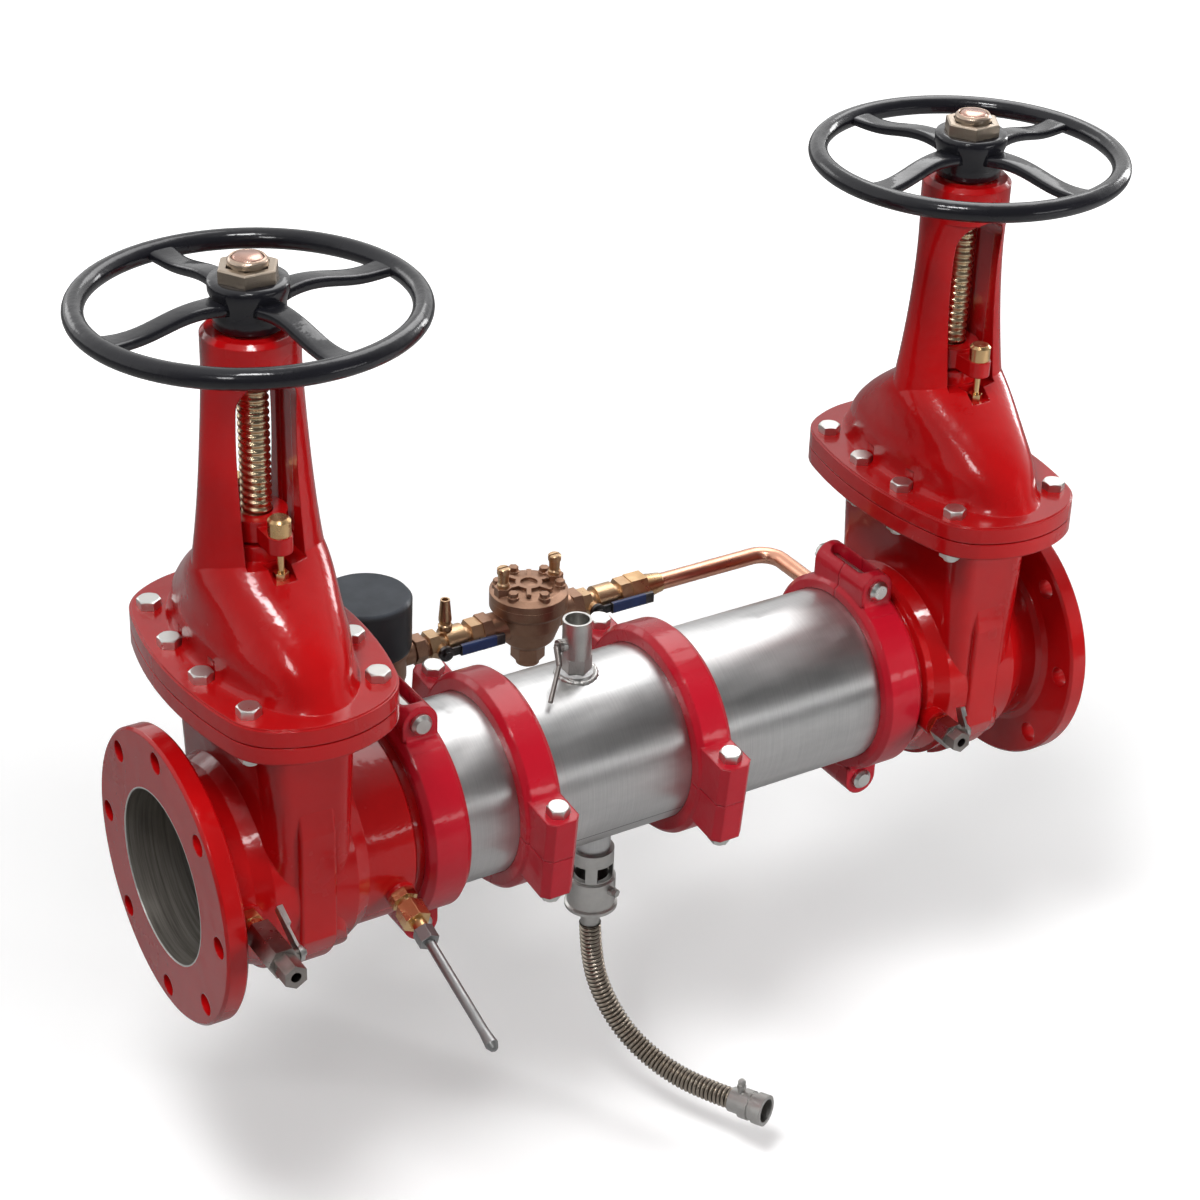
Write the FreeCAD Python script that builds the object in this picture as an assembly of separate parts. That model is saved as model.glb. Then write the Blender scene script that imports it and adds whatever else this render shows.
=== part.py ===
import FreeCAD, Part
import math
import os
from FreeCAD import Vector

# Reduced pressure detector assembly, 8 inch. All sizes in millimetres.
# +X runs along the pipe from inlet to outlet, +Y towards the bypass line, +Z up.
# The origin is the centre of the inlet flange's sealing face.

# Pipe line and flanges
LENGTH = 1179.0
BORE_R = 101.6
PIPE_R = 110.0
FLANGE_R = 171.45
FLANGE_T = 25.4
BOLT_CIRCLE_R = 149.2
FLANGE_HOLE_R = 12.7
FLANGE_HOLES = 8
EDGE_ROUND = 3.0

# Gate valve castings
STEM_TO_FLANGE = 130.0
INLET_GROOVE_X = 297.0
OUTLET_GROOVE_X = 930.0
CHAMBER_HALF_X = 58.0
CHAMBER_HALF_Y = 127.0
CHAMBER_CORNER_R = 26.0
CHAMBER_WALL = 11.0
CHAMBER_TAPER = 14.0
CHAMBER_BOTTOM_R = 131.0
RIB_HALF_W = 22.0
RIB_PROUD = 6.0
RIB_TOP_Z = 122.0
NECK_FLARE = 16.0

# Bonnet joint
JOINT_Z = 243.0
JOINT_FLANGE_T = 21.0
GASKET_T = 1.6
JOINT_HALF_X = 115.0
JOINT_HALF_Y = 188.0
JOINT_SIDE_R = 500.0
JOINT_END_R = 130.0
JOINT_CORNER_R = 70.0
BONNET_BOLTS = ((75.0, 128.0), (89.0, 41.0))
BONNET_BOLT_R = 8.0
BONNET_BOLT_AF = 24.0
BOLT_HEAD_H = 10.5
BOLT_HOLE_CLEAR = 0.5
CHAMFER_H = 1.8
JOINT_PAD_T = 4.0

# Dome and yoke
DOME_HALF_X = 80.0
DOME_HALF_Y = 163.0
DOME_WALL = 20.0
DOME_TOP_Z = 392.0
YOKE_BASE_HALF_X = 70.0
YOKE_BASE_HALF_Y = 46.0
YOKE_TOP_Z = 637.0
COLLAR_R = 52.0
COLLAR_H = 41.0
WINDOW_HALF_X = 34.0
WINDOW_BOTTOM_Z = 383.0
LEG_GROOVE = 5.0
STUFFING_R = 36.0
STUFFING_TOP_Z = 400.0
PACKING_R = 26.0
PACKING_DEPTH = 46.0
STUD_POCKET_HALF_X = 13.0

# Gate, seats and stem
WEDGE_R = 108.0
WEDGE_HALF_T = 24.0
WEDGE_TAPER_DEG = 4.0
GATE_TRAVEL = 210.0
SEAT_OUTER_R = 111.5
SEAT_BACK = 53.0
SEAT_GAP = 0.2
STEM_R = 17.0
STEM_TOP_Z = 715.0
STEM_LEAD = 8.5
SHAFT_CLEAR = 0.08
FREE_CLEAR = 0.4

# Gland follower
GLAND_Z = 404.0
GLAND_T = 24.0
GLAND_BOSS_R = 33.0
GLAND_STUD_Y = 55.0
GLAND_EAR_R = 14.0
GLAND_STUD_R = 4.0
GLAND_NUT_R = 12.5
GLAND_NUT_H = 20.0
LOCK_NUT_AF = 15.0

# Handwheel and its nuts
WHEEL_Z = 660.0
WHEEL_R = 176.0
RIM_R = 11.3
HUB_TOP_Z = 690.0
HUB_TOP_R = 44.0
HUB_BOTTOM_R = 38.0
SPOKES = 4
SPOKE_W = 23.0
SPOKE_FLARE = 3.5
SPOKE_T = 11.0
SPOKE_WAVE = -4.0
INLET_SPOKE_DEG = 8.0
OUTLET_SPOKE_DEG = 13.0
YOKE_NUT_R = 21.0
YOKE_NUT_FLANGE_R = 30.0
YOKE_NUT_TOP_Z = 712.0
WHEEL_NUT_AF = 58.0
WHEEL_NUT_H = 15.0

# Grooved couplings at the valves
COUPLING_HALF_W = 27.0
COUPLING_R = 127.0
GROOVE_DEPTH = 2.5
GROOVE_W = 9.0
GROOVE_FROM_END = 16.0
PIPE_GAP = 1.0
KEY_CLEAR = 0.3
GASKET_R = 119.0
GASKET_HALF_W = 13.0
EAR_HALF_W = 22.0
EAR_Y = 50.0
EAR_BOLT_Z = 137.0
EAR_WALL = 9.0
EAR_BLEND = 16.0
SPLIT_GAP = 0.6
COUPLING_BOLT_R = 8.0
COUPLING_HEAD_R = 13.0

# Clamps round the check valve housings
FIRST_CLAMP_X = 417.0
SECOND_CLAMP_X = 651.0
CLAMP_HALF_W = 24.0
CLAMP_R = 131.0
CLAMP_TILT_DEG = 6.0
PAD_HALF_X = 21.0
PAD_Y = 168.0
PAD_HALF_H = 54.0
CLAMP_BOLT_Y = 148.0

# Check valve housings
HOUSING_WALL = 3.0
SEAT_FLANGE_T = 5.4
CHECK_BORE_R = 62.0
CHECK_SEAT_R = 106.6
CHECK_SEAT_L = 16.0
CLAPPER_R = 71.0
CLAPPER_T = 9.0
PIN_Z = 82.0
PIN_OFFSET_X = 14.0
PIN_R = 4.0
PIN_HALF_L = 30.0
SPRING_R = 7.0
SPRING_L = 20.0
SPRING_TURNS = 4

# Relief port, air gap and drain
RELIEF_X = 562.0
RELIEF_STUB_R = 22.0
AIR_GAP_R = 27.0
FUNNEL_R = 30.0
RELIEF_STUB_Z = -160.0
AIR_GAP_Z = -204.0
FUNNEL_Z = -236.0
HOSE_TOP_Z = -262.0
HOSE_R = 14.0
HOSE_COLLAR_R = 12.0
HOSE_HEADING_DEG = 27.0
HOSE_END_R = 20.0
HOSE_END_L = 48.0
HOSE_BORE_R = 15.0

# Test cocks and drain tube
COCK_X = 48.0
COCK_Z = 2.0
OUTLET_COCK_X = 978.0
OUTLET_COCK_Z = -26.0
COCK_BORE_R = 6.0
TOP_COCK_X = 531.0
TOP_COCK_Z = 134.0
TOP_COCK_H = 48.0
TOP_COCK_R = 17.5
DRAIN_X = 238.0
DRAIN_DIP_DEG = 18.0
DRAIN_TUBE_R = 6.0
BOSS_R = 17.0
BOSS_PROUD = 120.0
BOSS_ROOT = 92.0

# Bypass line
BYPASS_Y = 250.0
BYPASS_Z = 32.5
BYPASS_TUBE_R = 11.1
BYPASS_BEND_R = 30.0
BYPASS_IN_X = 238.0
BYPASS_OUT_X = 984.0
REAR_BOSS_Y = 132.0
METER_X = 382.0
METER_R = 57.0
METER_CAP_Z = 59.0
METER_CAP_H = 71.0
METER_HALF_L = 62.0
FITTING_AF = 34.0
BARREL_R = 16.5
VALVE_L = 74.0
DEVICE_X = 613.0
DEVICE_R = 50.0
DEVICE_COVER_Z = 66.0
DEVICE_COVER_H = 17.0
DEVICE_HALF_L = 73.0
DEVICE_COCK_X = 37.0
COCK_BOSS_H = 6.0
RAISED_RIB_H = 3.0
LEVER_Y = 220.0
LEVER_L = 82.0
LEVER_W = 13.0
LEVER_T = 5.0
UNION_L = 50.0

X = Vector(1, 0, 0)
Y = Vector(0, 1, 0)
Z = Vector(0, 0, 1)
ORIGIN = Vector(0, 0, 0)


def cyl(radius, start, end):
    """Round bar between two points."""
    return Part.makeCylinder(radius, (end - start).Length, start, end - start)


def tube(outer, inner, start, end):
    return cyl(outer, start, end).cut(cyl(inner, start, end))


def cone(r_start, r_end, start, end):
    return Part.makeCone(r_start, r_end, (end - start).Length, start, end - start)


def box(x0, x1, y0, y1, z0, z1):
    return Part.makeBox(x1 - x0, y1 - y0, z1 - z0, Vector(x0, y0, z0))


def across(direction):
    """A unit vector square to the given one."""
    other = Z if abs(direction.z) < 0.9 else X
    side = direction.cross(other)
    side.normalize()
    return side


def hexagon(flats, start, end, turn_deg=0.0):
    """Hexagonal bar between two points, given its size across flats."""
    along = end - start
    u = across(along)
    v = along.cross(u)
    v.normalize()
    r = flats / math.sqrt(3.0)
    corners = []
    for i in range(7):
        a = math.radians(60.0 * i + turn_deg)
        corners.append(start + u * (r * math.cos(a)) + v * (r * math.sin(a)))
    return Part.Face(Part.makePolygon(corners)).extrude(along)


def revolve_x(points):
    """Solid of revolution about the pipe axis from (x, r) points."""
    outline = [Vector(x, 0, r) for x, r in points]
    outline.append(outline[0])
    return Part.Face(Part.makePolygon(outline)).revolve(ORIGIN, X, 360)


def revolve_z(points, x=0.0, y=0.0):
    """Solid of revolution about an upright axis from (r, z) points."""
    outline = [Vector(x + r, y, z) for r, z in points]
    outline.append(outline[0])
    return Part.Face(Part.makePolygon(outline)).revolve(Vector(x, y, 0), Z, 360)


def fuse(shapes):
    solid = shapes[0]
    if len(shapes) > 1:
        solid = solid.multiFuse(shapes[1:])
    return solid.removeSplitter()


def oval_wire(half_x, half_y, side_r, end_r, corner_r, z):
    """Smooth oval of eight tangent arcs: two sides, two ends, four corners."""
    side_c = half_x - side_r
    end_c = half_y - end_r
    a = side_r - corner_r
    b = end_r - corner_r
    dist = math.hypot(side_c, end_c)
    along = (a * a - b * b + dist * dist) / (2.0 * dist)
    off = math.sqrt(a * a - along * along)
    ux, uy = -side_c / dist, end_c / dist
    cx = side_c + ux * along - uy * off
    cy = uy * along + ux * off
    if cx < 0 or cy < 0:
        cx = side_c + ux * along + uy * off
        cy = uy * along - ux * off
    t1 = math.atan2(cy, cx - side_c)
    t2 = math.atan2(cy - end_c, cx)
    side_t = (side_c + side_r * math.cos(t1), side_r * math.sin(t1))
    end_t = (end_r * math.cos(t2), end_c + end_r * math.sin(t2))
    mid_a = 0.5 * (t1 + t2)
    mid = (cx + corner_r * math.cos(mid_a), cy + corner_r * math.sin(mid_a))

    def at(point, sx, sy):
        return Vector(point[0] * sx, point[1] * sy, z)

    def arc(p, q, r):
        return Part.Arc(p, q, r).toShape()

    edges = []
    for sx, sy in ((1, 1), (-1, 1), (-1, -1), (1, -1)):
        if sx * sy > 0:
            edges.append(arc(at(side_t, sx, sy), at(mid, sx, sy), at(end_t, sx, sy)))
            edges.append(arc(at(end_t, sx, sy), Vector(0, half_y * sy, z), at(end_t, -sx, sy)))
        else:
            edges.append(arc(at(end_t, sx, sy), at(mid, sx, sy), at(side_t, sx, sy)))
            edges.append(arc(at(side_t, sx, sy), Vector(half_x * sx, 0, z), at(side_t, sx, -sy)))
    return Part.Wire(Part.__sortEdges__(edges))


def joint_oval(inset, z0, z1):
    wire = oval_wire(JOINT_HALF_X - inset, JOINT_HALF_Y - inset, JOINT_SIDE_R - inset,
                     JOINT_END_R - inset, JOINT_CORNER_R - inset, z0)
    return Part.Face(wire).extrude(Vector(0, 0, z1 - z0))


def rounded_wire(half_x, half_y, corner, z):
    """Rectangle with rounded corners."""
    ix, iy = half_x - corner, half_y - corner
    corners = ((ix, iy, 0), (-ix, iy, 90), (-ix, -iy, 180), (ix, -iy, 270))
    edges = []
    ends = []
    for cx, cy, start in corners:
        points = []
        for turn in (0, 45, 90):
            a = math.radians(start + turn)
            points.append(Vector(cx + corner * math.cos(a), cy + corner * math.sin(a), z))
        edges.append(Part.Arc(*points).toShape())
        ends.append((points[0], points[2]))
    for (_, leave), (arrive, _) in zip(ends, ends[1:] + ends[:1]):
        edges.append(Part.makeLine(leave, arrive))
    return Part.Wire(Part.__sortEdges__(edges))


def chamber_bar(inset, z0, z1):
    """Gate chamber form, narrower towards the bottom as the gate is; inset gives its inside."""
    def at(z):
        share = (JOINT_Z - z) / (JOINT_Z + CHAMBER_BOTTOM_R)
        return rounded_wire(CHAMBER_HALF_X - CHAMBER_TAPER * share - inset,
                            CHAMBER_HALF_Y - 0.5 * CHAMBER_TAPER * share - inset,
                            CHAMBER_CORNER_R - 0.7 * inset, z)
    return Part.makeLoft([at(z0), at(z1)], True, True)


def ellipse_wire(half_x, half_y, z):
    if half_x >= half_y:
        curve = Part.Ellipse(Vector(half_x, 0, z), Vector(0, half_y, z), Vector(0, 0, z))
    else:
        curve = Part.Ellipse(Vector(0, half_y, z), Vector(-half_x, 0, z), Vector(0, 0, z))
    return Part.Wire(curve.toShape())


def placed(shape, x, flip):
    """Put a valve piece, drawn about its own stem axis, on its stem in the line."""
    copy = shape.copy()
    if flip:
        copy.rotate(ORIGIN, Z, 180)
    copy.translate(Vector(x, 0, 0))
    return copy


OUTLET_STEM_X = LENGTH - STEM_TO_FLANGE
BONNET_BASE_Z = JOINT_Z + GASKET_T
BONNET_TOP_Z = BONNET_BASE_Z + JOINT_FLANGE_T
VALVES = (("inlet", STEM_TO_FLANGE, False, INLET_SPOKE_DEG),
          ("outlet", OUTLET_STEM_X, True, OUTLET_SPOKE_DEG))
TAPER = math.tan(math.radians(WEDGE_TAPER_DEG))


def bonnet_bolt_places():
    places = []
    for bx, by in BONNET_BOLTS:
        for sx in (1, -1):
            for sy in (1, -1):
                places.append((bx * sx, by * sy))
    return places


def rib(y_sign):
    """Raised strip down one side of the gate chamber, fading into it at the top."""
    low = -CHAMBER_BOTTOM_R - RIB_PROUD
    outline = [(60.0, low), (CHAMBER_HALF_Y - 0.5 * CHAMBER_TAPER + RIB_PROUD, low),
               (CHAMBER_HALF_Y - 0.2 * CHAMBER_TAPER + RIB_PROUD, RIB_TOP_Z - 34.0),
               (CHAMBER_HALF_Y - 0.2 * CHAMBER_TAPER - 0.5, RIB_TOP_Z), (60.0, RIB_TOP_Z), (60.0, low)]
    face = Part.Face(Part.makePolygon([Vector(-RIB_HALF_W, y_sign * y, z) for y, z in outline]))
    bar = face.extrude(X * 2.0 * RIB_HALF_W)
    edges = [e for e in bar.Edges if abs(e.tangentAt(e.FirstParameter).x) < 0.01
             and abs(e.CenterOfMass.y) > CHAMBER_HALF_Y - 0.5 * CHAMBER_TAPER and e.Length > 20.0]
    return bar.makeFillet(4.0, edges)


def valve_body_blank(groove_len):
    """Gate valve casting about its stem axis, flange towards -X, groove end towards +X."""
    face = -STEM_TO_FLANGE
    back = face + FLANGE_T
    neck = PIPE_R + 6.0
    outside = [
        (face, 0), (face, FLANGE_R - EDGE_ROUND), (face + EDGE_ROUND, FLANGE_R),
        (back - EDGE_ROUND, FLANGE_R), (back, FLANGE_R - EDGE_ROUND),
        (back, neck + 10.0), (back + 4.0, neck + 3.0), (back + 12.0, neck),
        (-CHAMBER_HALF_X - 12.0, neck + 1.0), (-CHAMBER_HALF_X + 8.0, neck + NECK_FLARE * 0.6),
        (CHAMBER_HALF_X - 8.0, neck + NECK_FLARE * 0.6), (CHAMBER_HALF_X + 10.0, neck),
        (groove_len - 40.0, neck), (groove_len - 36.0, PIPE_R), (groove_len, PIPE_R),
        (groove_len, 0)]
    chamber = chamber_bar(0.0, -CHAMBER_BOTTOM_R, JOINT_Z - JOINT_FLANGE_T)
    ribs = fuse([rib(1), rib(-1)])
    end_r = CHAMBER_BOTTOM_R + RIB_PROUD
    keep = fuse([cyl(CHAMBER_BOTTOM_R, Vector(-200, 0, 0), Vector(200, 0, 0)),
                 box(-200, 200, -200, 200, 0, JOINT_Z)])
    keep_rib = fuse([cyl(end_r, Vector(-200, 0, 0), Vector(200, 0, 0)),
                     box(-200, 200, -200, 200, 0, JOINT_Z)])
    top = joint_oval(0.0, JOINT_Z - JOINT_FLANGE_T + 2.0, JOINT_Z)
    under = joint_oval(2.0, JOINT_Z - JOINT_FLANGE_T, JOINT_Z - JOINT_FLANGE_T + 2.0)
    return fuse([revolve_x(outside), chamber.common(keep), ribs.common(keep_rib), top, under])


def valve_body_inside(groove_len):
    """Everything taken out of a gate valve casting."""
    face = -STEM_TO_FLANGE
    cuts = [cyl(BORE_R, Vector(face - 1, 0, 0), Vector(groove_len + 1, 0, 0))]
    inner = chamber_bar(CHAMBER_WALL, -CHAMBER_BOTTOM_R, JOINT_Z + 1)
    inner_end = CHAMBER_BOTTOM_R - CHAMBER_WALL
    keep = fuse([cyl(inner_end, Vector(-200, 0, 0), Vector(200, 0, 0)),
                 box(-200, 200, -200, 200, 0, JOINT_Z + 1)])
    cuts.append(inner.common(keep))
    cuts.append(cyl(SEAT_OUTER_R, Vector(-SEAT_BACK, 0, 0), Vector(SEAT_BACK, 0, 0)))
    groove_x = groove_len - GROOVE_FROM_END
    cuts.append(tube(PIPE_R + 5, PIPE_R - GROOVE_DEPTH, Vector(groove_x, 0, 0),
                     Vector(groove_x + GROOVE_W, 0, 0)))
    for i in range(FLANGE_HOLES):
        a = 2.0 * math.pi * i / FLANGE_HOLES
        y = BOLT_CIRCLE_R * math.cos(a)
        z = BOLT_CIRCLE_R * math.sin(a)
        cuts.append(cyl(FLANGE_HOLE_R, Vector(face - 1, y, z), Vector(face + FLANGE_T + 1, y, z)))
    for x, y in bonnet_bolt_places():
        cuts.append(cyl(BONNET_BOLT_R + BOLT_HOLE_CLEAR, Vector(x, y, JOINT_Z - JOINT_FLANGE_T - 1),
                        Vector(x, y, JOINT_Z + 1)))
    return cuts


def drain_direction():
    a = math.radians(DRAIN_DIP_DEG)
    return Vector(0, -math.cos(a), -math.sin(a))


def valve_bodies():
    inlet_len = INLET_GROOVE_X - PIPE_GAP - STEM_TO_FLANGE
    inlet = placed(valve_body_blank(inlet_len), STEM_TO_FLANGE, False)
    drain = drain_direction()
    at = Vector(DRAIN_X, 0, 0)
    bosses = [cyl(BOSS_R, Vector(COCK_X, -BOSS_ROOT, COCK_Z), Vector(COCK_X, -BOSS_PROUD, COCK_Z)),
              cyl(BOSS_R, at + drain * BOSS_ROOT, at + drain * BOSS_PROUD),
              cyl(BOSS_R, Vector(BYPASS_IN_X, BOSS_ROOT, BYPASS_Z),
                  Vector(BYPASS_IN_X, REAR_BOSS_Y, BYPASS_Z))]
    cuts = [placed(c, STEM_TO_FLANGE, False) for c in valve_body_inside(inlet_len)]
    inlet = fuse([inlet] + bosses).cut(cuts)
    outlet_len = OUTLET_STEM_X - OUTLET_GROOVE_X - PIPE_GAP
    outlet = placed(valve_body_blank(outlet_len), OUTLET_STEM_X, True)
    bosses = [cyl(BOSS_R, Vector(OUTLET_COCK_X, -BOSS_ROOT, OUTLET_COCK_Z),
                  Vector(OUTLET_COCK_X, -REAR_BOSS_Y, OUTLET_COCK_Z)),
              cyl(BOSS_R, Vector(BYPASS_OUT_X, BOSS_ROOT, BYPASS_Z),
                  Vector(BYPASS_OUT_X, REAR_BOSS_Y, BYPASS_Z))]
    cuts = [placed(c, OUTLET_STEM_X, True) for c in valve_body_inside(outlet_len)]
    outlet = fuse([outlet] + bosses).cut(cuts)
    return inlet, outlet


def bonnet():
    """Bonnet and yoke in one casting, about the stem axis."""
    base = joint_oval(0.0, BONNET_BASE_Z, BONNET_TOP_Z - 2.0)
    rim = joint_oval(2.0, BONNET_TOP_Z - 2.0, BONNET_TOP_Z)
    dome = Part.makeLoft([
        ellipse_wire(DOME_HALF_X + 4.0, DOME_HALF_Y + 5.0, BONNET_TOP_Z - 0.5),
        ellipse_wire(DOME_HALF_X, DOME_HALF_Y, BONNET_TOP_Z + 7.0),
        ellipse_wire(DOME_HALF_X, DOME_HALF_Y - 10.0, BONNET_TOP_Z + 26.0),
        ellipse_wire(DOME_HALF_X - 1.0, DOME_HALF_Y - 29.0, BONNET_TOP_Z + 52.0),
        ellipse_wire(DOME_HALF_X - 2.0, DOME_HALF_Y - 60.0, BONNET_TOP_Z + 80.0),
        ellipse_wire(DOME_HALF_X - 4.0, DOME_HALF_Y - 92.0, BONNET_TOP_Z + 104.0),
        ellipse_wire(YOKE_BASE_HALF_X - 2.0, YOKE_BASE_HALF_Y - 2.0, DOME_TOP_Z)], True, False)
    top = YOKE_TOP_Z - COLLAR_H
    legs = Part.makeLoft([
        ellipse_wire(YOKE_BASE_HALF_X + 8.0, YOKE_BASE_HALF_Y + 6.0, BONNET_TOP_Z + 90.0),
        ellipse_wire(YOKE_BASE_HALF_X, YOKE_BASE_HALF_Y, DOME_TOP_Z + 15.0),
        ellipse_wire(COLLAR_R + 6.0, COLLAR_R - 14.0, top - 60.0),
        ellipse_wire(COLLAR_R, COLLAR_R - 1.0, top + 1.0)], True, False)
    collar = revolve_z([(0, top - 4.0), (COLLAR_R, top - 4.0), (COLLAR_R, YOKE_TOP_Z - 5.0),
                        (COLLAR_R - 5.0, YOKE_TOP_Z), (0, YOKE_TOP_Z)])
    window_top = top - WINDOW_HALF_X
    window = fuse([box(-WINDOW_HALF_X, WINDOW_HALF_X, -150, 150, WINDOW_BOTTOM_Z, window_top),
                   cyl(WINDOW_HALF_X, Vector(0, -150, window_top), Vector(0, 150, window_top))])
    grooves = []
    for sx in (1, -1):
        x0 = sx * (WINDOW_HALF_X - 1.0)
        x1 = sx * (WINDOW_HALF_X + LEG_GROOVE)
        grooves.append(box(min(x0, x1), max(x0, x1), -18, 18, WINDOW_BOTTOM_Z + 18, window_top))
    stuffing = cyl(STUFFING_R, Vector(0, 0, BONNET_TOP_Z + 70.0), Vector(0, 0, STUFFING_TOP_Z))
    body = fuse([base, rim, dome, legs, collar]).cut([window] + grooves)
    body = fuse([body, stuffing])
    half_x = DOME_HALF_X - DOME_WALL
    half_y = DOME_HALF_Y - DOME_WALL
    cavity = Part.makeLoft([ellipse_wire(half_x, half_y - 8.0, BONNET_BASE_Z - 1.0),
                            ellipse_wire(half_x - 2.0, half_y - 14.0, BONNET_TOP_Z + 10.0),
                            ellipse_wire(half_x - 4.0, half_y - 42.0, BONNET_TOP_Z + 44.0),
                            ellipse_wire(half_x - 10.0, half_y - 82.0, BONNET_TOP_Z + 74.0)],
                           True, False)
    cuts = [cavity]
    bore_r = STEM_R + FREE_CLEAR
    cuts.append(cyl(bore_r, Vector(0, 0, BONNET_BASE_Z), Vector(0, 0, STUFFING_TOP_Z + 1)))
    cuts.append(cyl(PACKING_R, Vector(0, 0, STUFFING_TOP_Z - PACKING_DEPTH),
                    Vector(0, 0, STUFFING_TOP_Z + 1)))
    cuts.append(cyl(YOKE_NUT_FLANGE_R - 3.0 + SHAFT_CLEAR, Vector(0, 0, top - 10),
                    Vector(0, 0, YOKE_TOP_Z + 1)))
    for sy in (1, -1):
        y = GLAND_STUD_Y * sy
        y_out = 100.0 * sy
        y_in = (STUFFING_R + 3.0) * sy
        cuts.append(box(-STUD_POCKET_HALF_X, STUD_POCKET_HALF_X, min(y_in, y_out),
                        max(y_in, y_out), WINDOW_BOTTOM_Z - 12.0, WINDOW_BOTTOM_Z + 30.0))
        cuts.append(cyl(GLAND_STUD_R, Vector(0, y, WINDOW_BOTTOM_Z - 38.0),
                        Vector(0, y, WINDOW_BOTTOM_Z)))
    for x, y in bonnet_bolt_places():
        cuts.append(cyl(BONNET_BOLT_R + BOLT_HOLE_CLEAR, Vector(x, y, BONNET_BASE_Z - 1),
                        Vector(x, y, BONNET_TOP_Z + 1)))
        cuts.append(cyl(BONNET_BOLT_AF * 0.6, Vector(x, y, BONNET_TOP_Z),
                        Vector(x, y, BONNET_TOP_Z + 2.0 * BOLT_HEAD_H)))
    return body.cut(cuts)


def bonnet_gasket():
    ring = joint_oval(3.0, JOINT_Z, BONNET_BASE_Z)
    hole = chamber_bar(CHAMBER_WALL, JOINT_Z - 1, BONNET_BASE_Z + 1)
    cuts = [hole]
    for x, y in bonnet_bolt_places():
        cuts.append(cyl(BONNET_BOLT_R + BOLT_HOLE_CLEAR, Vector(x, y, JOINT_Z - 1),
                        Vector(x, y, BONNET_BASE_Z + 1)))
    return ring.cut(cuts)


def screw(radius, flats, head_h, seat, along, length):
    """Hexagon head screw: seat is under the head, along points towards the tip."""
    corner = flats / math.sqrt(3.0)
    tip = seat - along * head_h
    neck = tip + along * CHAMFER_H
    round_off = fuse([cyl(corner + 1.0, seat, neck), cone(corner + 1.0, 0.46 * flats, neck, tip)])
    head = hexagon(flats, seat, tip).common(round_off)
    return head.fuse(cyl(radius, seat, seat + along * length)).removeSplitter()


def nut(radius, flats, height, start, along):
    return hexagon(flats, start, start + along * height).cut(
        cyl(radius, start - along, start + along * (height + 1)))


def bonnet_fasteners():
    """Eight screws and eight nuts about the stem axis, as separate solids."""
    solids = []
    under = JOINT_Z - JOINT_FLANGE_T
    for x, y in bonnet_bolt_places():
        length = BONNET_TOP_Z - under + BOLT_HEAD_H + 5.0
        solids.append(screw(BONNET_BOLT_R, BONNET_BOLT_AF, BOLT_HEAD_H,
                            Vector(x, y, BONNET_TOP_Z), -Z, length))
        solids.append(nut(BONNET_BOLT_R, BONNET_BOLT_AF, BOLT_HEAD_H, Vector(x, y, under), -Z))
    return solids


def wedge():
    """Tapered gate with a hooked boss for the stem, closed."""
    disc = cyl(WEDGE_R, Vector(-60, 0, 0), Vector(60, 0, 0))
    lo = WEDGE_HALF_T - 130 * TAPER
    hi = WEDGE_HALF_T + 130 * TAPER
    outline = [Vector(-lo, -130, -130), Vector(lo, -130, -130), Vector(hi, -130, 130),
               Vector(-hi, -130, 130), Vector(-lo, -130, -130)]
    slab = Part.Face(Part.makePolygon(outline)).extrude(Vector(0, 260, 0))
    gate = disc.common(slab)
    boss = cyl(26.0, Vector(0, 0, WEDGE_R - 16.0), Vector(0, 0, WEDGE_R + 14.0))
    gate = gate.fuse(boss)
    waist = tube(WEDGE_R + 5, WEDGE_R - 9.0, Vector(-6, 0, 0), Vector(6, 0, 0))
    sides = box(-6, 6, -130, 130, -60, 60)
    slot = cyl(STEM_R - 3.0 + SHAFT_CLEAR, Vector(0, 0, WEDGE_R - 20.0), Vector(0, 0, WEDGE_R + 20.0))
    return gate.cut([waist.common(sides), slot]).removeSplitter()


def stem():
    return revolve_z([(0, WEDGE_R - 20.0 + FREE_CLEAR), (STEM_R - 3.0, WEDGE_R - 20.0 + FREE_CLEAR),
                      (STEM_R - 3.0, WEDGE_R + 14.0 + FREE_CLEAR),
                      (STEM_R, WEDGE_R + 14.0 + FREE_CLEAR), (STEM_R, STEM_TOP_Z - 2.0),
                      (STEM_R - 2.0, STEM_TOP_Z), (0, STEM_TOP_Z)])


def seat_rings():
    """The pair of bronze seat rings of one valve, faced to the gate's taper."""
    rings = []
    for side in (1, -1):
        ring = tube(SEAT_OUTER_R, BORE_R, Vector(side * 10.0, 0, 0), Vector(side * SEAT_BACK, 0, 0))
        near = WEDGE_HALF_T + SEAT_GAP
        lo = near - 130 * TAPER
        hi = near + 130 * TAPER
        outline = [Vector(-side, -130, -130), Vector(side * lo, -130, -130),
                   Vector(side * hi, -130, 130), Vector(-side, -130, 130), Vector(-side, -130, -130)]
        rings.append(ring.cut(Part.Face(Part.makePolygon(outline)).extrude(Vector(0, 260, 0))))
    return rings


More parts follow.
